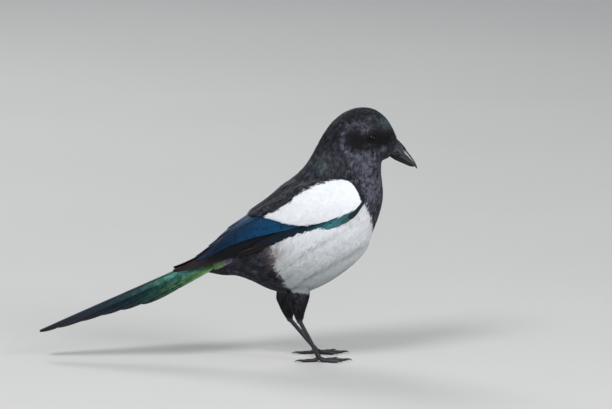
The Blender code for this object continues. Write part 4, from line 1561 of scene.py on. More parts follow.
    def unwrap(self, u: Array, v: Array) -> Array:
        """Places of the body on the bake map."""
        return together(0.03 + 0.94 * u / BODY.end, 0.03 + 0.94 * (v % TURN) / TURN)

    def from_eye(self, points: Array) -> Array:
        """Distance from the eye in side view."""
        return np.hypot(points[..., 0] - self.eye[0], points[..., 2] - self.eye[1])

    def density(self, u: Array, v: Array, points: Array) -> Array:
        """Tufts for each square millimetre."""
        open_skin = (self.from_eye(points) > self.eye[2]) & ~self.hidden(points)
        return table(self.plan, 4, u) * open_skin

    def build_skin(self, finish: Material) -> None:
        """Makes the one skin, hollowed under the wings.

        Args:
            finish: The material.
        """
        u, v = rings_over(0.0, BODY.end, self.rings, self.sides)
        points = BODY.raised(u, v, -table(self.plan, 1, u))
        wings = {side: self.wing_tree(side) for side in Side}
        for index in np.argwhere(self.hidden(points)):
            point = points[tuple(index)]
            side = Side.LEFT if point[1] > 0 else Side.RIGHT
            start = Vector((point[0], 0.0, point[2]))
            hit = wings[side].ray_cast(start, Vector((0.0, side.value, 0.0)))[0]
            if hit is not None:
                point[1] = side.value * min(abs(point[1]), abs(hit.y) - 0.5)
        skins = [ring_tube(points)]
        for side, rows in self.thighs.items():
            thigh = StalkSheet(rows, side)
            u, v = rings_over(0.0, thigh.end, 40, 32)
            skins.append(ring_tube(thigh.raised(u, v, -0.25 - 0.15 * (thigh.end - u))))
        skin = united(skins)
        count = len(skin.points)
        skin.marks = self.marks(skin.points, np.full(count, 8.0), np.zeros(count))
        skin.build(
            "skin", finish, "black_plumage",
            "head", "neck", "torso", "vent", "undertail_coverts", "thigh_left", "thigh_right",
        )

    def wing_tree(self, side: Side) -> BVHTree:
        """A wing's sheet for casting rays.

        Args:
            side: Which wing.

        Returns:
            The tree.
        """
        rows, columns = 70, 30
        u = np.linspace(-0.05, 1.02, rows)[:, None]
        points = WingSheet(side).at(u, np.linspace(-0.06, 1.06, columns)).reshape(-1, 3)
        return BVHTree.FromPolygons(points.tolist(), grid_faces(rows, columns).tolist())

    def build_coat(self, finish: Material, rng: Random) -> None:
        """Makes the body's tufts, part by part on each side.

        Args:
            finish: The material.
            rng: The source of what varies.
        """
        tuft = Tuft()
        for name, start, end in self.parts:
            for side, span in ((Side.LEFT, (0.0, math.pi)), (Side.RIGHT, (math.pi, TURN))):
                u, v = scatter(BODY, (start, end, *span), self.density, rng)
                points = BODY.at(u, v)
                depth, length, width = (table(self.plan, column, u) for column in (1, 2, 3))
                tips = BODY.at(u + 0.8 * length / BODY.grips(u, v)[0], v)
                streak = 0.7 * streaks(u * 4.5, v * 36.0, 3) + 0.6 * rng.normal(0.0, 1.0, len(u))
                marks = self.marks(tips, u, streak)
                length = length * np.clip((self.from_eye(points) - 2.6) / 5.0, 0.45, 1.0)
                fold = self.folds(tips) * 0.55 * marks["white"]
                loose = np.where(marks["white"] > 0, 0.06, 0.15)
                sizes = {
                    "length": length * rng.uniform(0.85, 1.15, len(u)), "width": width,
                    "low": -depth - 0.2, "wild": loose,
                    "high": self.proud - fold + loose * streak * np.minimum(1.0, depth),
                }
                shape = tuft.grow(
                    BODY, u, v, self.lie(u, v, points, rng), sizes, self.unwrap(u, v), rng
                )
                tuft.mark(shape, marks)
                slot = "white_plumage" if marks["white"].mean() > 0.5 else "black_plumage"
                shape.build(f"coat_{name}_{side.label}", finish, slot)

    def build_thighs(self, finish: Material, rng: Random) -> None:
        """Makes the tufts of both thighs.

        Args:
            finish: The material.
            rng: The source of what varies.
        """
        tuft = Tuft()
        for side, rows in self.thighs.items():
            thigh = StalkSheet(rows, side)

            def density(u: Array, v: Array, points: Array) -> Array:
                """Thicker towards the joint, where the tufts are short."""
                return 0.34 + 0.11 * u

            u, v = scatter(thigh, (0.05, 4.8, 0.0, TURN), density, rng)
            count = len(u)
            streak = streaks(u * 1.5, v * 5.0, 5) + 0.5 * rng.normal(0.0, 1.0, count)
            marks = self.marks(thigh.at(u + 0.4, v), np.full(count, 15.0), streak)
            # Painted shade greys the thighs' white further, and their painted gleam is weaker.
            marks["shade"] = held(marks["shade"] + 0.36)
            marks["gleam"] = 0.6 * marks["gleam"]
            sizes = {
                "length": 7.5 - 0.95 * u, "width": 0.40 - 0.045 * u, "low": -1.0,
                "high": 0.2 + 0.15 * streak, "wild": 0.12,
            }
            unwrap = together(0.1 + 0.8 * u / thigh.end, 0.1 + 0.8 * v / TURN)
            shape = tuft.grow(thigh, u, v, rng.normal(0.0, 0.12, count), sizes, unwrap, rng)
            tuft.mark(shape, marks)
            shape.build(f"coat_thigh_{side.label}", finish, "black_plumage")


@dataclass(frozen=True)
class Wing:
    """One folded wing's feathers in tiers."""

    side: Side
    # Sheet coordinates of the tips, from the lowest feather upwards.
    primary_tips: Rows = ((0.80, 0.93), (0.88, 0.88), (0.95, 0.78), (0.995, 0.58), (0.965, 0.42),
                          (0.92, 0.32))
    secondary_tips: Rows = ((0.86, 0.42), (0.83, 0.34), (0.80, 0.28), (0.765, 0.23), (0.72, 0.19),
                            (0.67, 0.16))
    primaries: int = 10
    secondaries: int = 12
    coverts: int = 15
    flight: VaneKind = VaneKind(rows=70, thickness=0.12, tilt=0.03)

    @property
    def sheet(self) -> WingSheet:
        """The wing's surface."""
        return WingSheet(self.side)

    def build_primaries(self, finish: Material, rng: Random) -> None:
        """Makes the primaries and the coverts over their roots.

        Args:
            finish: The material.
            rng: The source of what varies.
        """
        order = np.linspace(0.0, len(self.primary_tips) - 1.0, self.primaries)
        tips = along(self.primary_tips, order)
        roots = together(0.36, 0.90 - 0.06 * order)
        lifts = together(0.2 + 0.26 * order, 0.5 + 0.26 * order)
        widths = np.tile((2.4, 3.0), (self.primaries, 1))
        vanes = self.flight.lay(self.sheet, roots, tips, widths, lifts, rng)
        count = 7
        order = np.linspace(0.0, 1.0, count)
        roots = together(0.14 + 0.20 * order, 0.80 + 0.10 * order)
        tips = together(0.42 + 0.20 * order, 0.92 + 0.05 * order)
        widths, lifts = (np.tile(pair, (count, 1)) for pair in ((2.4, 2.2), (1.7, 2.9)))
        covers = VaneKind(rows=36, tilt=0.03).lay(self.sheet, roots, tips, widths, lifts, rng)
        Shape.joined([vanes, covers]).build(
            f"primaries_vanes_{self.side.label}", finish, "dark_flight_feathers",
            f"primaries_{self.side.label}",
        )

    def build_secondaries(self, finish: Material, rng: Random) -> None:
        """Makes the secondaries and tertials, the blue panel of the wing.

        Args:
            finish: The material.
            rng: The source of what varies.
        """
        order = np.linspace(0.0, len(self.secondary_tips) - 1.0, self.secondaries)
        tips = along(self.secondary_tips, order)
        roots = together(0.22, 0.80 - 0.11 * order)
        lifts = together(2.5 + 0.34 * order, 2.9 + 0.34 * order)
        widths = together(1.6 + 0.25 * order, 3.2 + 0.35 * order)
        # The right wing's upper two tertials lie over those of the left.
        over = 0.45 * (self.side is Side.RIGHT)
        roots = np.concatenate([roots, ((0.42, 0.12), (0.43, 0.00), (0.45, -0.11))])
        tips = np.concatenate([tips, ((0.78, 0.04), (0.72, -0.06), (0.66, -0.14))])
        widths = np.concatenate([widths, ((3.4, 4.4), (3.8, 4.6), (3.8, 5.0))])
        top = 5.0 + over
        lifts = np.concatenate([lifts, ((1.0, 4.9), (0.4 + over, top), (over - 0.6, top + 0.2))])
        vanes = self.flight.lay(self.sheet, roots, tips, widths, lifts, rng)
        vanes.build(
            f"secondaries_vanes_{self.side.label}", finish, "blue_flight_feathers",
            f"secondaries_{self.side.label}",
        )

    def build_coverts(self, finish: Material, rng: Random) -> None:
        """Makes the teal band of greater coverts along the wing's lower edge.

        Args:
            finish: The material.
            rng: The source of what varies.
        """
        order = np.linspace(0.0, 1.0, self.coverts)
        roots = together(-0.016 + 0.381 * order, 0.90 - 0.10 * order)
        tips = together(0.10 + 0.45 * order, 1.05 - 0.13 * order**1.5)
        widths = together(4.0 - 1.4 * order, 3.0 - 1.0 * order)
        # The foremost ones sink under the shoulder's edge.
        sunk = held(1 - order / 0.22)
        lifts = together(3.5 - 2.4 * sunk - order, 4.5 - 0.7 * sunk - 2.0 * order)
        kind = VaneKind(rows=34, thickness=0.12, tilt=0.0)
        vanes = kind.lay(self.sheet, roots, tips, widths, lifts, rng)
        vanes.build(f"coverts_{self.side.label}", finish, "blue_flight_feathers")

    def build_bed(self, sheet: ShoulderSheet, finish: Material) -> None:
        """Makes the closed bed down to the lower edge of the shoulder's markings.

        Args:
            sheet: The surface.
            finish: The material.
        """
        rows, columns = 64, 36
        lengths = np.linspace(-0.02, 0.46, rows)
        fine = np.linspace(0.0, 1.0, 200)
        spots = sheet.at(lengths[:, None], fine[None])
        over = MARKINGS.shoulder(spots, 1.7) | MARKINGS.mantle_end(spots)
        low = np.where(over.any(1), fine[::-1][np.argmax(over[:, ::-1], axis=1)], 0.02)
        low = np.convolve(np.pad(low, 2, mode="edge"), np.ones(5) / 5, mode="valid")
        u = np.tile(lengths[:, None], (1, columns))
        v = -0.03 + (low[:, None] + 0.03) * np.linspace(0.0, 1.0, columns)
        layers = [sheet.raised(u, v, np.full(u.shape, depth)) for depth in (-0.3, -1.5)]
        points = np.concatenate(layers).reshape(-1, 3)
        bed = faced_out(Shape(points, slab_faces(rows, columns)))
        plain = np.zeros(len(points))
        bed.marks = self.marks(MARKINGS.shoulder(points, 1.3), plain, points)
        bed.build(
            f"shoulder_bed_{self.side.label}", finish, "white_plumage",
            f"scapulars_{self.side.label}",
        )

    def build_shoulder(self, finish: Material, rng: Random) -> None:
        """Makes the white shoulder patch and the black feathers above it over a closed bed.

        Args:
            finish: The material.
            rng: The source of what varies.
        """
        sheet = ShoulderSheet(self.sheet)
        self.build_bed(sheet, finish)
        long_tuft = Tuft(
            stops=(0.0, 0.35, 0.75, 1.0), swell=(0.7, 1.0, 0.9), rise=(0.0, 0.75, 1.0, 0.9),
            ruffle=0.05, fan=8.0,
        )
        for name, tuft, dense, length in (
            ("white", long_tuft, 0.50, 12.0), ("black", Tuft(), 0.75, 7.5),
        ):

            def density(u: Array, v: Array, points: Array) -> Array:
                """Only where this colour's tips come to lie."""
                tip = sheet.at(u + length / self.sheet.span, v)
                if name == "black":
                    clear = (v > -0.03) | (points[..., 0] < 60.0)
                    return dense * (MARKINGS.mantle_end(tip) & ~MARKINGS.shoulder(tip, 0.9) & clear)
                middle = sheet.at(u + 0.4 * length / self.sheet.span, v)
                fits = MARKINGS.shoulder(tip, 0.5) & MARKINGS.shoulder(middle, 0.5)
                return dense * (fits & MARKINGS.shoulder(points, 0.4))

            u, v = scatter(sheet, (-0.06, 0.60, -0.17, 0.98), density, rng)
            count = len(u)
            white = name == "white"
            streak = 0.7 * streaks(u * 45.0, v * 40.0, 9) + 0.6 * rng.normal(0.0, 1.0, count)
            bend = below(u, 0.07, 0.10) * (not white)
            sizes = {
                "length": (length - 3.0 * bend) * rng.uniform(0.8, 1.05, count),
                "width": 0.42 if white else 0.28, "low": -1.0, "wild": 0.03 if white else 0.14,
                "high": (0.5 if white else 0.9) + 0.07 * streak - 0.6 * bend,
            }
            unwrap = together(0.1 + 1.5 * u, 0.1 + 0.85 * v)
            lie = rng.normal(0.0, 0.03 if white else 0.09, count)
            shape = tuft.grow(sheet, u, v, lie, sizes, unwrap, rng)
            tuft.mark(shape, self.marks(np.full(count, white), streak, sheet.at(u, v)))
            shape.build(f"shoulder_{name}_{self.side.label}", finish, f"{name}_plumage")

    def marks(self, white: Array, streak: Array, points: Array) -> dict[str, Array]:
        """What the plumage finish reads on the shoulder: painted gleam on the black, painted shade
        lower on the patch.
        """
        # Painted shade, greying the patch lower down.
        low = below(points[:, 2], 162.0, 28.0)
        return {
            "white": white.astype(float), "gleam": held(0.28 + 0.24 * streak),
            "green": held(0.02 + 0.04 * streak),
            "shade": held(0.08 + 0.20 * low + 0.05 * streak),
            "buff": np.zeros(len(points)),
        }


@dataclass(frozen=True)
class Tail:
    """Twelve stepped tail feathers and the small coverts over their roots."""

    length: float = 194.0
    steps: tuple[float, ...] = (1.0, 0.915, 0.80, 0.69, 0.59, 0.485)
    inner: float = 6.5
    outer: float = 8.5
    sheet: TailSheet = TailSheet()

    def build(self, finish: Material, plumage: Material, rng: Random) -> None:
        """Makes the feathers from the outer pair to the middle one.

        Args:
            finish: The material.
            plumage: The coverts' material.
            rng: The source of what varies.
        """
        roots, tips, widths, lifts = [], [], [], []
        for pair in reversed(range(len(self.steps))):
            for side in Side:
                lift = -0.75 * pair - (0.37 if side is Side.LEFT else 0.0)
                roots.append((0.0, side.value * (2.0 + 0.9 * pair)))
                tips.append((self.length * self.steps[pair], side.value * (2.0 + 3.5 * pair)))
                both = (self.inner, self.outer)
                widths.append(both if side is Side.LEFT else both[::-1])
                lifts.append((lift, lift))
        kind = VaneKind(rows=90, columns=11, tilt=0.0, camber=0.3, shaft=0.55, tip_from=0.66,
                        tip_power=2.6)
        rows = (np.array(values) for values in (roots, tips, widths, lifts))
        vanes = kind.lay(self.sheet, *rows, rng)
        vanes = Shape.joined([vanes, self.flank_vanes(rng)])
        vanes.build("tail_vanes", finish, "green_tail_feathers", "tail")
        self.build_coverts(plumage, rng)

    def flank_vanes(self, rng: Random) -> Shape:
        """The outer pair's bases, which show on the flanks under the wings.

        Args:
            rng: The source of what varies.

        Returns:
            The joined vanes.
        """
        front, back = (
            np.array([(u, v), (u, TURN - v)]) for u, v in ((15.6, 5.13), (BODY.end, 4.66))
        )
        kind = VaneKind(rows=40, tilt=0.0, camber=0.3, shaft=0.16, slits=4, tip_from=0.8)
        widths, lifts = np.array([(2.8, 5.2), (5.2, 2.8)]), np.array([(-1.0, 2.4), (-1.0, 2.4)])
        vanes = kind.lay(BODY, front, back, widths, lifts, rng)
        # They take the colours of the tail's lowest rank, from its violet root on.
        vanes.marks["rank"] = np.zeros(len(vanes.points))
        vanes.marks["tone"] = np.zeros(len(vanes.points))
        vanes.marks["along"] = vanes.marks["along"] - 9.0
        return vanes

    def build_coverts(self, finish: Material, rng: Random) -> None:
        """Makes the small dark coverts over the tail's root.

        Args:
            finish: The material.
            rng: The source of what varies.
        """
        tuft = Tuft(stops=(0.0, 0.35, 0.75, 1.0), swell=(0.7, 1.0, 0.9), rise=(0.0, 0.8, 1.0, 0.6))
        count = 420
        u = rng.uniform(-10.0, 16.0, count)
        v = rng.uniform(-11.0, 11.0, count)
        sizes = {
            "length": 14.0, "width": 0.4, "low": -0.5, "wild": 0.12,
            "high": np.maximum(0.3, 2.4 - 0.1 * (u + 10.0)),
        }
        unwrap = together(0.1 + 0.02 * (u + 12.0), 0.1 + 0.03 * (v + 12.0))
        shape = tuft.grow(self.sheet, u, v, rng.normal(0.0, 0.08, count), sizes, unwrap, rng)
        # A random painted gleam and green sheen on each covert.
        gleam, green = rng.uniform(0.0, 0.5, count), rng.uniform(0.0, 0.7, count)
        marks = {"white": 0.0, "shade": 0.0, "buff": 0.0, "gleam": gleam, "green": green}
        tuft.mark(shape, marks)
        shape.build("tail_coverts", finish, "green_tail_feathers")


@dataclass(frozen=True)
class Bill:
    """Both halves of the bill, and the bristles over its base."""

    upper: BillSheet = BillSheet()
    lower: BillSheet = BillSheet(
        (
            (156.5, 198.9, 154.9, 194.4, 4.8, 0.16),
            (160.3, 196.4, 159.0, 191.6, 4.3, 0.16),
            (164.9, 193.9, 163.9, 189.3, 3.6, 0.18),
            (169.6, 191.1, 169.0, 187.1, 2.7, 0.20),
            (174.0, 188.0, 173.6, 185.2, 1.7, 0.25),
            (177.9, 185.3, 177.5, 184.8, 0.35, 0.50),
        )
    )
    # The nostril's x, z and radius.
    nostril: Triple = (163.3, 202.6, 1.5)
    bristles: int = 1000

    def build(self, horn: Material, foot: Material, dark: Material, rng: Random) -> None:
        """Makes the horn and the bristles.

        Args:
            horn: The upper half's material.
            foot: The lower half's.
            dark: The bristles' material.
            rng: The source of what varies.
        """
        for name, sheet, finish in (
            ("bill_upper", self.upper, horn), ("bill_lower", self.lower, foot),
        ):
            u, v = rings_over(-0.25, sheet.end, 90, 64)
            points = sheet.at(u, v)
            if sheet is self.upper:
                hole = bump_at(points, *self.nostril) * (np.abs(points[..., 1]) > 2.0)
                points[..., 1] -= np.sign(points[..., 1]) * hole * 0.4
                edge = hump(np.abs(np.sin(v)), 1.0, 0.05) * (u > 0.4)
                points[..., 1] += np.sign(points[..., 1]) * edge * 0.12
            ring_tube(points).build(name + "_horn", finish, "bill_horn", name)
        self.build_bristles(dark, rng)

    def build_bristles(self, finish: Material, rng: Random) -> None:
        """Makes the stiff bristles that lie forward over the nostrils and the gape.

        Args:
            finish: The material.
            rng: The source of what varies.
        """
        tuft = Tuft(barbs=2, fan=9.0, stops=(0.0, 0.3, 0.7, 1.0), swell=(0.8, 1.0, 0.7),
                    rise=(0.0, 0.9, 1.0, 0.8), ruffle=0.12)
        count = self.bristles
        turn = rng.uniform(-1.0, 1.0, count)
        v = turn * 2.05
        u = rng.uniform(-1.1, 0.62, count) - 0.35 * np.abs(turn) ** 1.5
        length = (7.4 - 3.4 * np.abs(turn) ** 2.0) * rng.uniform(0.65, 1.1, count)
        sizes = {
            "length": length, "width": 0.13, "low": -0.3,
            "high": 0.45 + rng.uniform(0.0, 0.6, count), "wild": 0.2,
        }
        lie = -0.12 * turn + rng.normal(0.0, 0.10, count)
        unwrap = together(0.2 + 0.5 * (u + 1.4), 0.5 + 0.2 * v)
        shape = tuft.grow(self.upper, u, v, lie, sizes, unwrap, rng)
        # A random painted gleam on each bristle, for painted glints.
        gleam = rng.uniform(0.0, 1.0, count) ** 1.3
        marks = {"white": 0.0, "shade": 0.0, "buff": 0.0, "green": 0.0, "gleam": gleam}
        tuft.mark(shape, marks)
        shape.build("bristles", finish, "black_plumage")


@dataclass(frozen=True)
class Eye:
    """One eye with its two lids."""

    side: Side
    centre: Triple = (137.6, 15.9, 214.8)
    radius: float = 5.0
    axis: Triple = (0.22, 0.97, 0.08)
    # Distance from the ball's axis and height along it, from the lids' edge out to the face.
    lid: Rows = (
        (3.25, 3.10), (3.38, 3.72), (3.55, 3.98), (3.85, 4.00), (4.15, 3.74), (4.40, 3.62),
        (4.70, 3.66), (5.00, 3.36), (5.40, 3.00), (5.90, 2.50), (6.50, 1.80), (7.10, 0.90),
    )

    def axes(self) -> tuple[Array, Array, Array, Array]:
        """Centre, outward axis, level and upright directions.

        Returns:
            Four vectors.
        """
        turn = (1.0, self.side.value, 1.0)
        axis = unit(np.multiply(self.axis, turn))
        level = unit(np.cross(axis, (0.0, 0.0, 1.0)))
        return np.multiply(self.centre, turn), axis, level, np.cross(level, axis)

    def build(self, gloss: Material, skin: Material) -> None:
        """Makes the ball with its clear bulge and the lids round it.

        Args:
            gloss: The ball's material.
            skin: The lids' material.
        """
        centre, axis, level, up = self.axes()
        off, turn = (angle[..., None] for angle in rings_over(0.001, math.pi, 48, 56))
        bulge = self.radius + 0.35 * hump(off, 0.0, 0.42)
        sideways = level * np.cos(turn) + up * np.sin(turn)
        ball = ring_tube(centre + bulge * (axis * np.cos(off) + sideways * np.sin(off)))
        ends = (0.0, math.pi)
        ball.marks = {"off_axis": np.concatenate([off.reshape(-1), ends])}
        ball.build(f"eyeball_{self.side.label}", gloss, "eye_gloss", f"eye_{self.side.label}")
        place, turns = rings_over(0.0, len(self.lid) - 1.0, 40, 96)
        reach, height = np.moveaxis(along(self.lid, place), -1, 0)
        corner = np.abs(np.cos(turns)) ** 6 * hump(reach, 3.8, 1.2)
        tall = 0.90 + 0.012 * (reach - 3.3)
        fold = np.sin(reach * 7.0 + 1.6 * np.sin(turns * 3)) * 0.05
        fold = fold + 0.03 * np.sin(turns * 41 + reach * 4)
        fold = fold * held((reach - 3.5) / 0.5)
        brow = 0.22 * np.maximum(0.0, np.sin(turns)) * hump(reach, 4.2, 0.9)
        out = level * (np.cos(turns) * (reach + 0.5 * corner))[..., None]
        out = out + up * (np.sin(turns) * reach * tall)[..., None]
        lift = (height + fold + brow - 0.25 * corner)[..., None]
        lids = ring_tube(centre + out + axis * lift)
        lids.build(f"lids_{self.side.label}", skin, "black_plumage")


@dataclass(frozen=True)
class Leg:
    """One bare shank with its foot and claws."""

    side: Side
    # The thigh's rows, then the place (x, z) where the toes meet and how far the foot is turned.
    thigh: Rows
    toe_root: tuple[float, float]
    turn: float
    shank: float = 1.9
    scutes: int = 11
    toe: float = 2.0
    # How far the soles stay over the floor.
    clear: float = 0.02
    # Name, heading from straight ahead in degrees, toe length and claw length.
    toes: tuple[tuple[str, float, float, float], ...] = (
        ("hind", 178.0, 14.5, 9.5), ("inner", -30.0, 16.5, 7.0), ("middle", -2.0, 24.0, 8.5),
        ("outer", 27.0, 17.5, 7.0),
    )

    def build(self, skin: Material, horn: Material) -> None:
        """Makes the shank with its scutes, the toes and the claws.

        Args:
            skin: The shank's and toes' material.
            horn: The claws' material.
        """
        (x1, z1), (x2, z2) = (row[:2] for row in self.thigh[-2:])
        y = self.thigh[-1][3] * self.side.value
        ahead = unit(np.array([x2 - x1, 0.0, z2 - z1]))
        end = np.array([x2, y, z2])
        start, hock = end - ahead * 2.0, end + ahead * 1.9
        root = np.array([self.toe_root[0], y, self.toe_root[1]])
        way = unit(root - hock)
        foot = root - way * 1.0
        t = np.linspace(0.0, 1.0, 150)
        centres = hock + (foot - hock) * t[:, None]
        beat = (t * self.scutes) % 1.0
        plate = 0.30 * (1 - beat) ** 0.5 * held(beat / 0.12)
        radii = self.shank + 0.9 * hump(t, 0.0, 0.05) + 0.35 * hump(1 - t, 0.0, 0.07)
        knee = np.stack([start, start + ahead * 1.8, start + ahead * 3.2])
        rings = tube_along(
            np.concatenate([knee, centres]), np.concatenate([[2.7, 2.9, 2.9], radii]), 28
        )
        front = unit(rings[3:] - centres[:, None]) @ unit(np.array([1.0, 0.0, 0.35]))
        rise = plate[:, None] * held(front * 1.6 + 0.8)
        rings[3:] += unit(rings[3:] - centres[:, None]) * rise[..., None]
        ring_tube(rings).build(
            f"shank_skin_{self.side.label}", skin, "leg_skin", f"shank_{self.side.label}"
        )
        toes, claws = [], {}
        for name, heading, length, claw in self.toes:
            angle = math.radians(heading + self.turn) * self.side.value
            radius = self.toe * (1.0 if name in ("middle", "hind") else 0.9)
            toe, end = self.make_toe(root, angle, length, radius)
            toes.append(toe)
            claws[name] = self.make_claw(end, angle, claw, radius)
        instep = tube_along(
            np.stack([foot - way * 1.5, foot + way * 0.5, root - (0.0, 0.0, 1.3)]),
            np.array([1.9, 2.4, 2.2]), 24,
        )
        toes.append(ring_tube(np.maximum(instep, (-math.inf, -math.inf, self.clear))))
        Shape.joined(toes).build(
            f"toes_{self.side.label}", skin, "leg_skin", f"foot_{self.side.label}"
        )
        for name, claw in claws.items():
            claw.build(
                f"talon_{name}_{self.side.label}", horn, "claw_horn",
                f"claw_{name}_{self.side.label}",
            )

    def make_toe(
        self, root: Array, angle: float, length: float, radius: float
    ) -> tuple[Shape, Array]:
        """One toe along the floor, with pads below and scutes above.

        Args:
            root: Where the toes meet.
            angle: The toe's heading.
            length: From the root to the claw.
            radius: At the root.

        Returns:
            The toe and the middle of its end.
        """
        way = np.array([math.cos(angle), math.sin(angle), 0.0])
        pads = max(2, round(length / 7.0))
        reach = np.linspace(-0.4, length, 96)
        share = held(reach / length)
        swell = 1.0 - 0.10 * np.cos(TURN * pads * share) * (reach > 1.0)
        thin = radius * (1 - 0.30 * share)
        centres = root + way * reach[:, None]
        near_root = held(1 - reach / 4.0)
        centres[:, 2] = thin * 0.88 + near_root * (root[2] - radius * 0.9)
        radii = thin * swell
        radii[-3:] *= (0.97, 0.86, 0.55)
        rings = tube_along(centres, radii, 20)
        beat = (share * length / 1.7) % 1.0
        scute = 0.26 * (1 - beat) * held(beat / 0.15)
        upward = held(unit(rings - centres[:, None])[..., 2])
        rings[..., 2] += upward * scute[:, None]
        rings[..., 2] = np.maximum(rings[..., 2], self.clear)
        return ring_tube(rings), centres[-1]

    def make_claw(self, end: Array, angle: float, length: float, radius: float) -> Shape:
        """A curved claw with a ridge along its back, its point just off the floor.

        Args:
            end: The middle of its toe's end.
            angle: Its heading.
            length: How long it is.
            radius: Its toe's radius at the root.

        Returns:
            The claw.
        """
        way = np.array([math.cos(angle), math.sin(angle), 0.0])
        t = np.linspace(0.0, 1.0, 30)
        centres = end + way * (length * np.sin(t * 1.45) / math.sin(1.45))[:, None] - way * 0.9
        base = end[2]
        centres[:, 2] = base + 1.1 * np.sin(t * 2.2) - (base + 0.45) * t**2.4
        radii = radius * 0.62 * (1 - 0.90 * t**0.9)
        rings = tube_along(centres, radii, 18, 1.15)
        rings[..., 2] = np.maximum(rings[..., 2], 0.05)
        return ring_tube(rings)


@dataclass(frozen=True)
class Studio:
    """The pale floor, the soft lights and the far camera."""

    target: Triple = (0.07495, 0.0, 0.1484)
    view_width: float = 0.5814
    distance: float = 7.0
    sensor: float = 36.0
    floor: Colour = (0.55, 0.55, 0.535)
    floor_half: float = 12.0
    # How much paler the floor's clouds are.
    cloud: float = 1.08
    sky: Colour = (0.86, 0.92, 1.0)
    sky_strength: float = 0.30
    # Place, size and watts of each soft light.
    lights: tuple = (
        ("key", (-0.9, -1.5, 2.3), 1.0, 41.0),
        ("back", (-0.8, 1.9, 1.9), 1.2, 26.0),
        ("front", (2.0, -1.3, 1.3), 1.3, 34.0),
        ("fill", (0.2, -2.8, 1.0), 1.8, 12.0),
    )

    def build(self) -> None:
        """Sets up all of the studio."""
        self.build_lights()
        self.build_floor()
        self.build_camera()

    def build_lights(self) -> None:
        """Sets up the sky and the soft lights, turned to the bird."""
        scene = bpy.context.scene
        scene.view_settings.view_transform = "Standard"
        scene.world = scene.world or bpy.data.worlds.new("studio")
        scene.world.use_nodes = True
        sky = scene.world.node_tree.nodes["Background"]
        sky.inputs["Color"].default_value = (*self.sky, 1.0)
        sky.inputs["Strength"].default_value = self.sky_strength
        middle = Vector(self.target)
        for name, place, size, watts in self.lights:
            light = bpy.data.lights.new(name, "AREA")
            light.shape, light.size, light.energy = "DISK", size, watts
            lamp = bpy.data.objects.new(name, light)
            lamp.location = place
            lamp.rotation_euler = (middle - lamp.location).to_track_quat("-Z", "Y").to_euler()
            scene.collection.objects.link(lamp)

    def build_floor(self) -> None:
        """Lays the pale floor."""
        scene = bpy.context.scene
        ground = bpy.data.meshes.new("floor")
        ways = ((-1, -1), (1, -1), (1, 1), (-1, 1))
        corners = [(x * self.floor_half, y * self.floor_half, 0.0) for x, y in ways]
        ground.from_pydata(corners, [], [(0, 1, 2, 3)])
        graph = Graph("floor")
        pale = tuple(value * self.cloud for value in self.floor)
        colour = graph.mix(graph.noise(3.0, 4.0), self.floor, pale)
        graph.feed({"Base Color": colour, "Roughness": 0.85})
        ground.materials.append(graph.material)
        floor = bpy.data.objects.new("floor", ground)
        scene.collection.objects.link(floor)

    def build_camera(self) -> None:
        """Sets the far camera ten degrees above the floor on the bird's right."""
        scene = bpy.context.scene
        lens = bpy.data.cameras.new("camera")
        lens.sensor_width = self.sensor
        lens.lens = self.sensor * self.distance / self.view_width
        lens.clip_end = 100.0
        camera = bpy.data.objects.new("camera", lens)
        back = Vector((0.0, -math.cos(CAMERA_RISE), math.sin(CAMERA_RISE)))
        camera.location = Vector(self.target) + back * self.distance
        camera.rotation_euler = (-back).to_track_quat("-Z", "Y").to_euler()
        scene.collection.objects.link(camera)
        scene.camera = camera


WING_BLUE = VaneFinish(
    "wing_blue",
    ((0.0, (0.005, 0.085, 0.19)), (0.4, (0.005, 0.080, 0.20)), (0.65, (0.007, 0.045, 0.115)),
     (1.0, (0.007, 0.018, 0.045))),
    (0.003, 0.009, 0.020), dim=1.0,
)
WING_TEAL = VaneFinish(
    "wing_teal",
    ((0.0, (0.018, 0.034, 0.034)), (0.09, (0.050, 0.115, 0.105)), (0.22, (0.055, 0.20, 0.235)),
     (0.42, (0.018, 0.080, 0.115)), (0.6, (0.008, 0.025, 0.042)), (1.0, (0.006, 0.009, 0.015))),
    (0.004, 0.014, 0.018), by_rank=1.0, mottle=0.16, gloss=0.18,
)
WING_DARK = VaneFinish(
    "wing_dark",
    ((0.0, (0.006, 0.010, 0.016)), (0.6, (0.006, 0.007, 0.011)), (1.0, (0.010, 0.007, 0.007))),
    (0.004, 0.004, 0.005), metal=0.1, rough=0.42, gloss=0.14, wear=0.35,
)
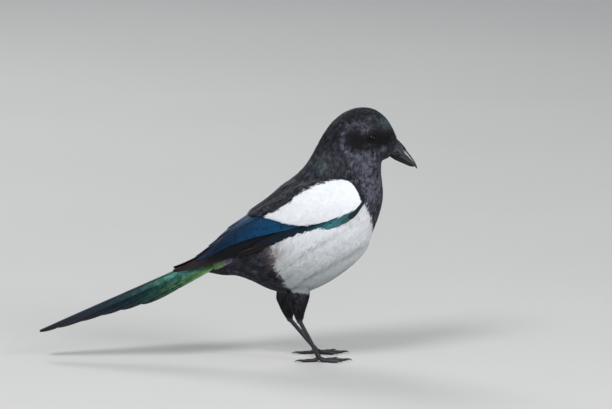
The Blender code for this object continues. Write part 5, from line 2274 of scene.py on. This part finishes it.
TAIL_GREEN = VaneFinish(
    "tail_green",
    ((0.0, (0.10, 0.36, 0.30)), (0.22, (0.11, 0.38, 0.31)), (0.36, (0.040, 0.135, 0.105)),
     (0.50, (0.012, 0.045, 0.050)), (0.70, (0.007, 0.020, 0.034)), (1.0, (0.005, 0.008, 0.014))),
    (0.003, 0.011, 0.013), shaft=(0.006, 0.010, 0.012), mottle=0.34, span=178.0, dim=1.1,
    rough=0.40, gloss=0.12,
    low_stops=(
        (0.0, (0.22, 0.12, 0.30)), (0.05, (0.21, 0.38, 0.15)), (0.20, (0.16, 0.33, 0.13)),
        (0.36, (0.030, 0.090, 0.055)), (0.55, (0.008, 0.024, 0.034)), (1.0, (0.009, 0.008, 0.009)),
    ),
    wear=0.3,
)
BILL_HORN = HornFinish(
    "bill_horn", (0.007, 0.007, 0.009), (0.022, 0.023, 0.028), 0.24, 500.0, 0.9, depth=0.00010,
    uneven=0.12,
)
BILL_FOOT = HornFinish(
    "bill_foot", (0.006, 0.006, 0.007), (0.020, 0.020, 0.023), 0.40, 500.0, gloss=0.2
)
CLAW_HORN = HornFinish("claw_horn", (0.007, 0.007, 0.008), (0.022, 0.021, 0.022), 0.30, 400.0, 0.3)
LEG_SKIN = HornFinish("leg_skin", (0.010, 0.010, 0.013), (0.030, 0.031, 0.042), 0.42, 900.0)
LID_SKIN = HornFinish(
    "lid_skin", (0.003, 0.003, 0.004), (0.012, 0.012, 0.014), 0.56, 1500.0, gloss=0.12
)


def main() -> None:
    """Dresses the bird and sets up the studio."""
    logging.basicConfig(level=logging.INFO, format="%(message)s")
    plumage = PlumageFinish().material()
    rng = np.random.default_rng(SEED)
    coat = Coat()
    coat.build_skin(plumage)
    coat.build_coat(plumage, rng)
    coat.build_thighs(plumage, rng)
    blue, teal, dark = WING_BLUE.material(), WING_TEAL.material(), WING_DARK.material()
    gloss, lid = EyeFinish().material(), LID_SKIN.material()
    for side in Side:
        wing = Wing(side)
        wing.build_primaries(dark, rng)
        wing.build_secondaries(blue, rng)
        wing.build_coverts(teal, rng)
        wing.build_shoulder(plumage, rng)
        Eye(side).build(gloss, lid)
    Tail().build(TAIL_GREEN.material(), plumage, rng)
    Bill().build(BILL_HORN.material(), BILL_FOOT.material(), plumage, rng)
    leg_skin, claw_horn = LEG_SKIN.material(), CLAW_HORN.material()
    for side, toe_root, turn in ((Side.RIGHT, (87.3, 4.0), -6.0), (Side.LEFT, (84.5, 4.0), 8.0)):
        Leg(side, coat.thighs[side], toe_root, turn).build(leg_skin, claw_horn)
    Studio().build()


if __name__ == "__main__":
    main()
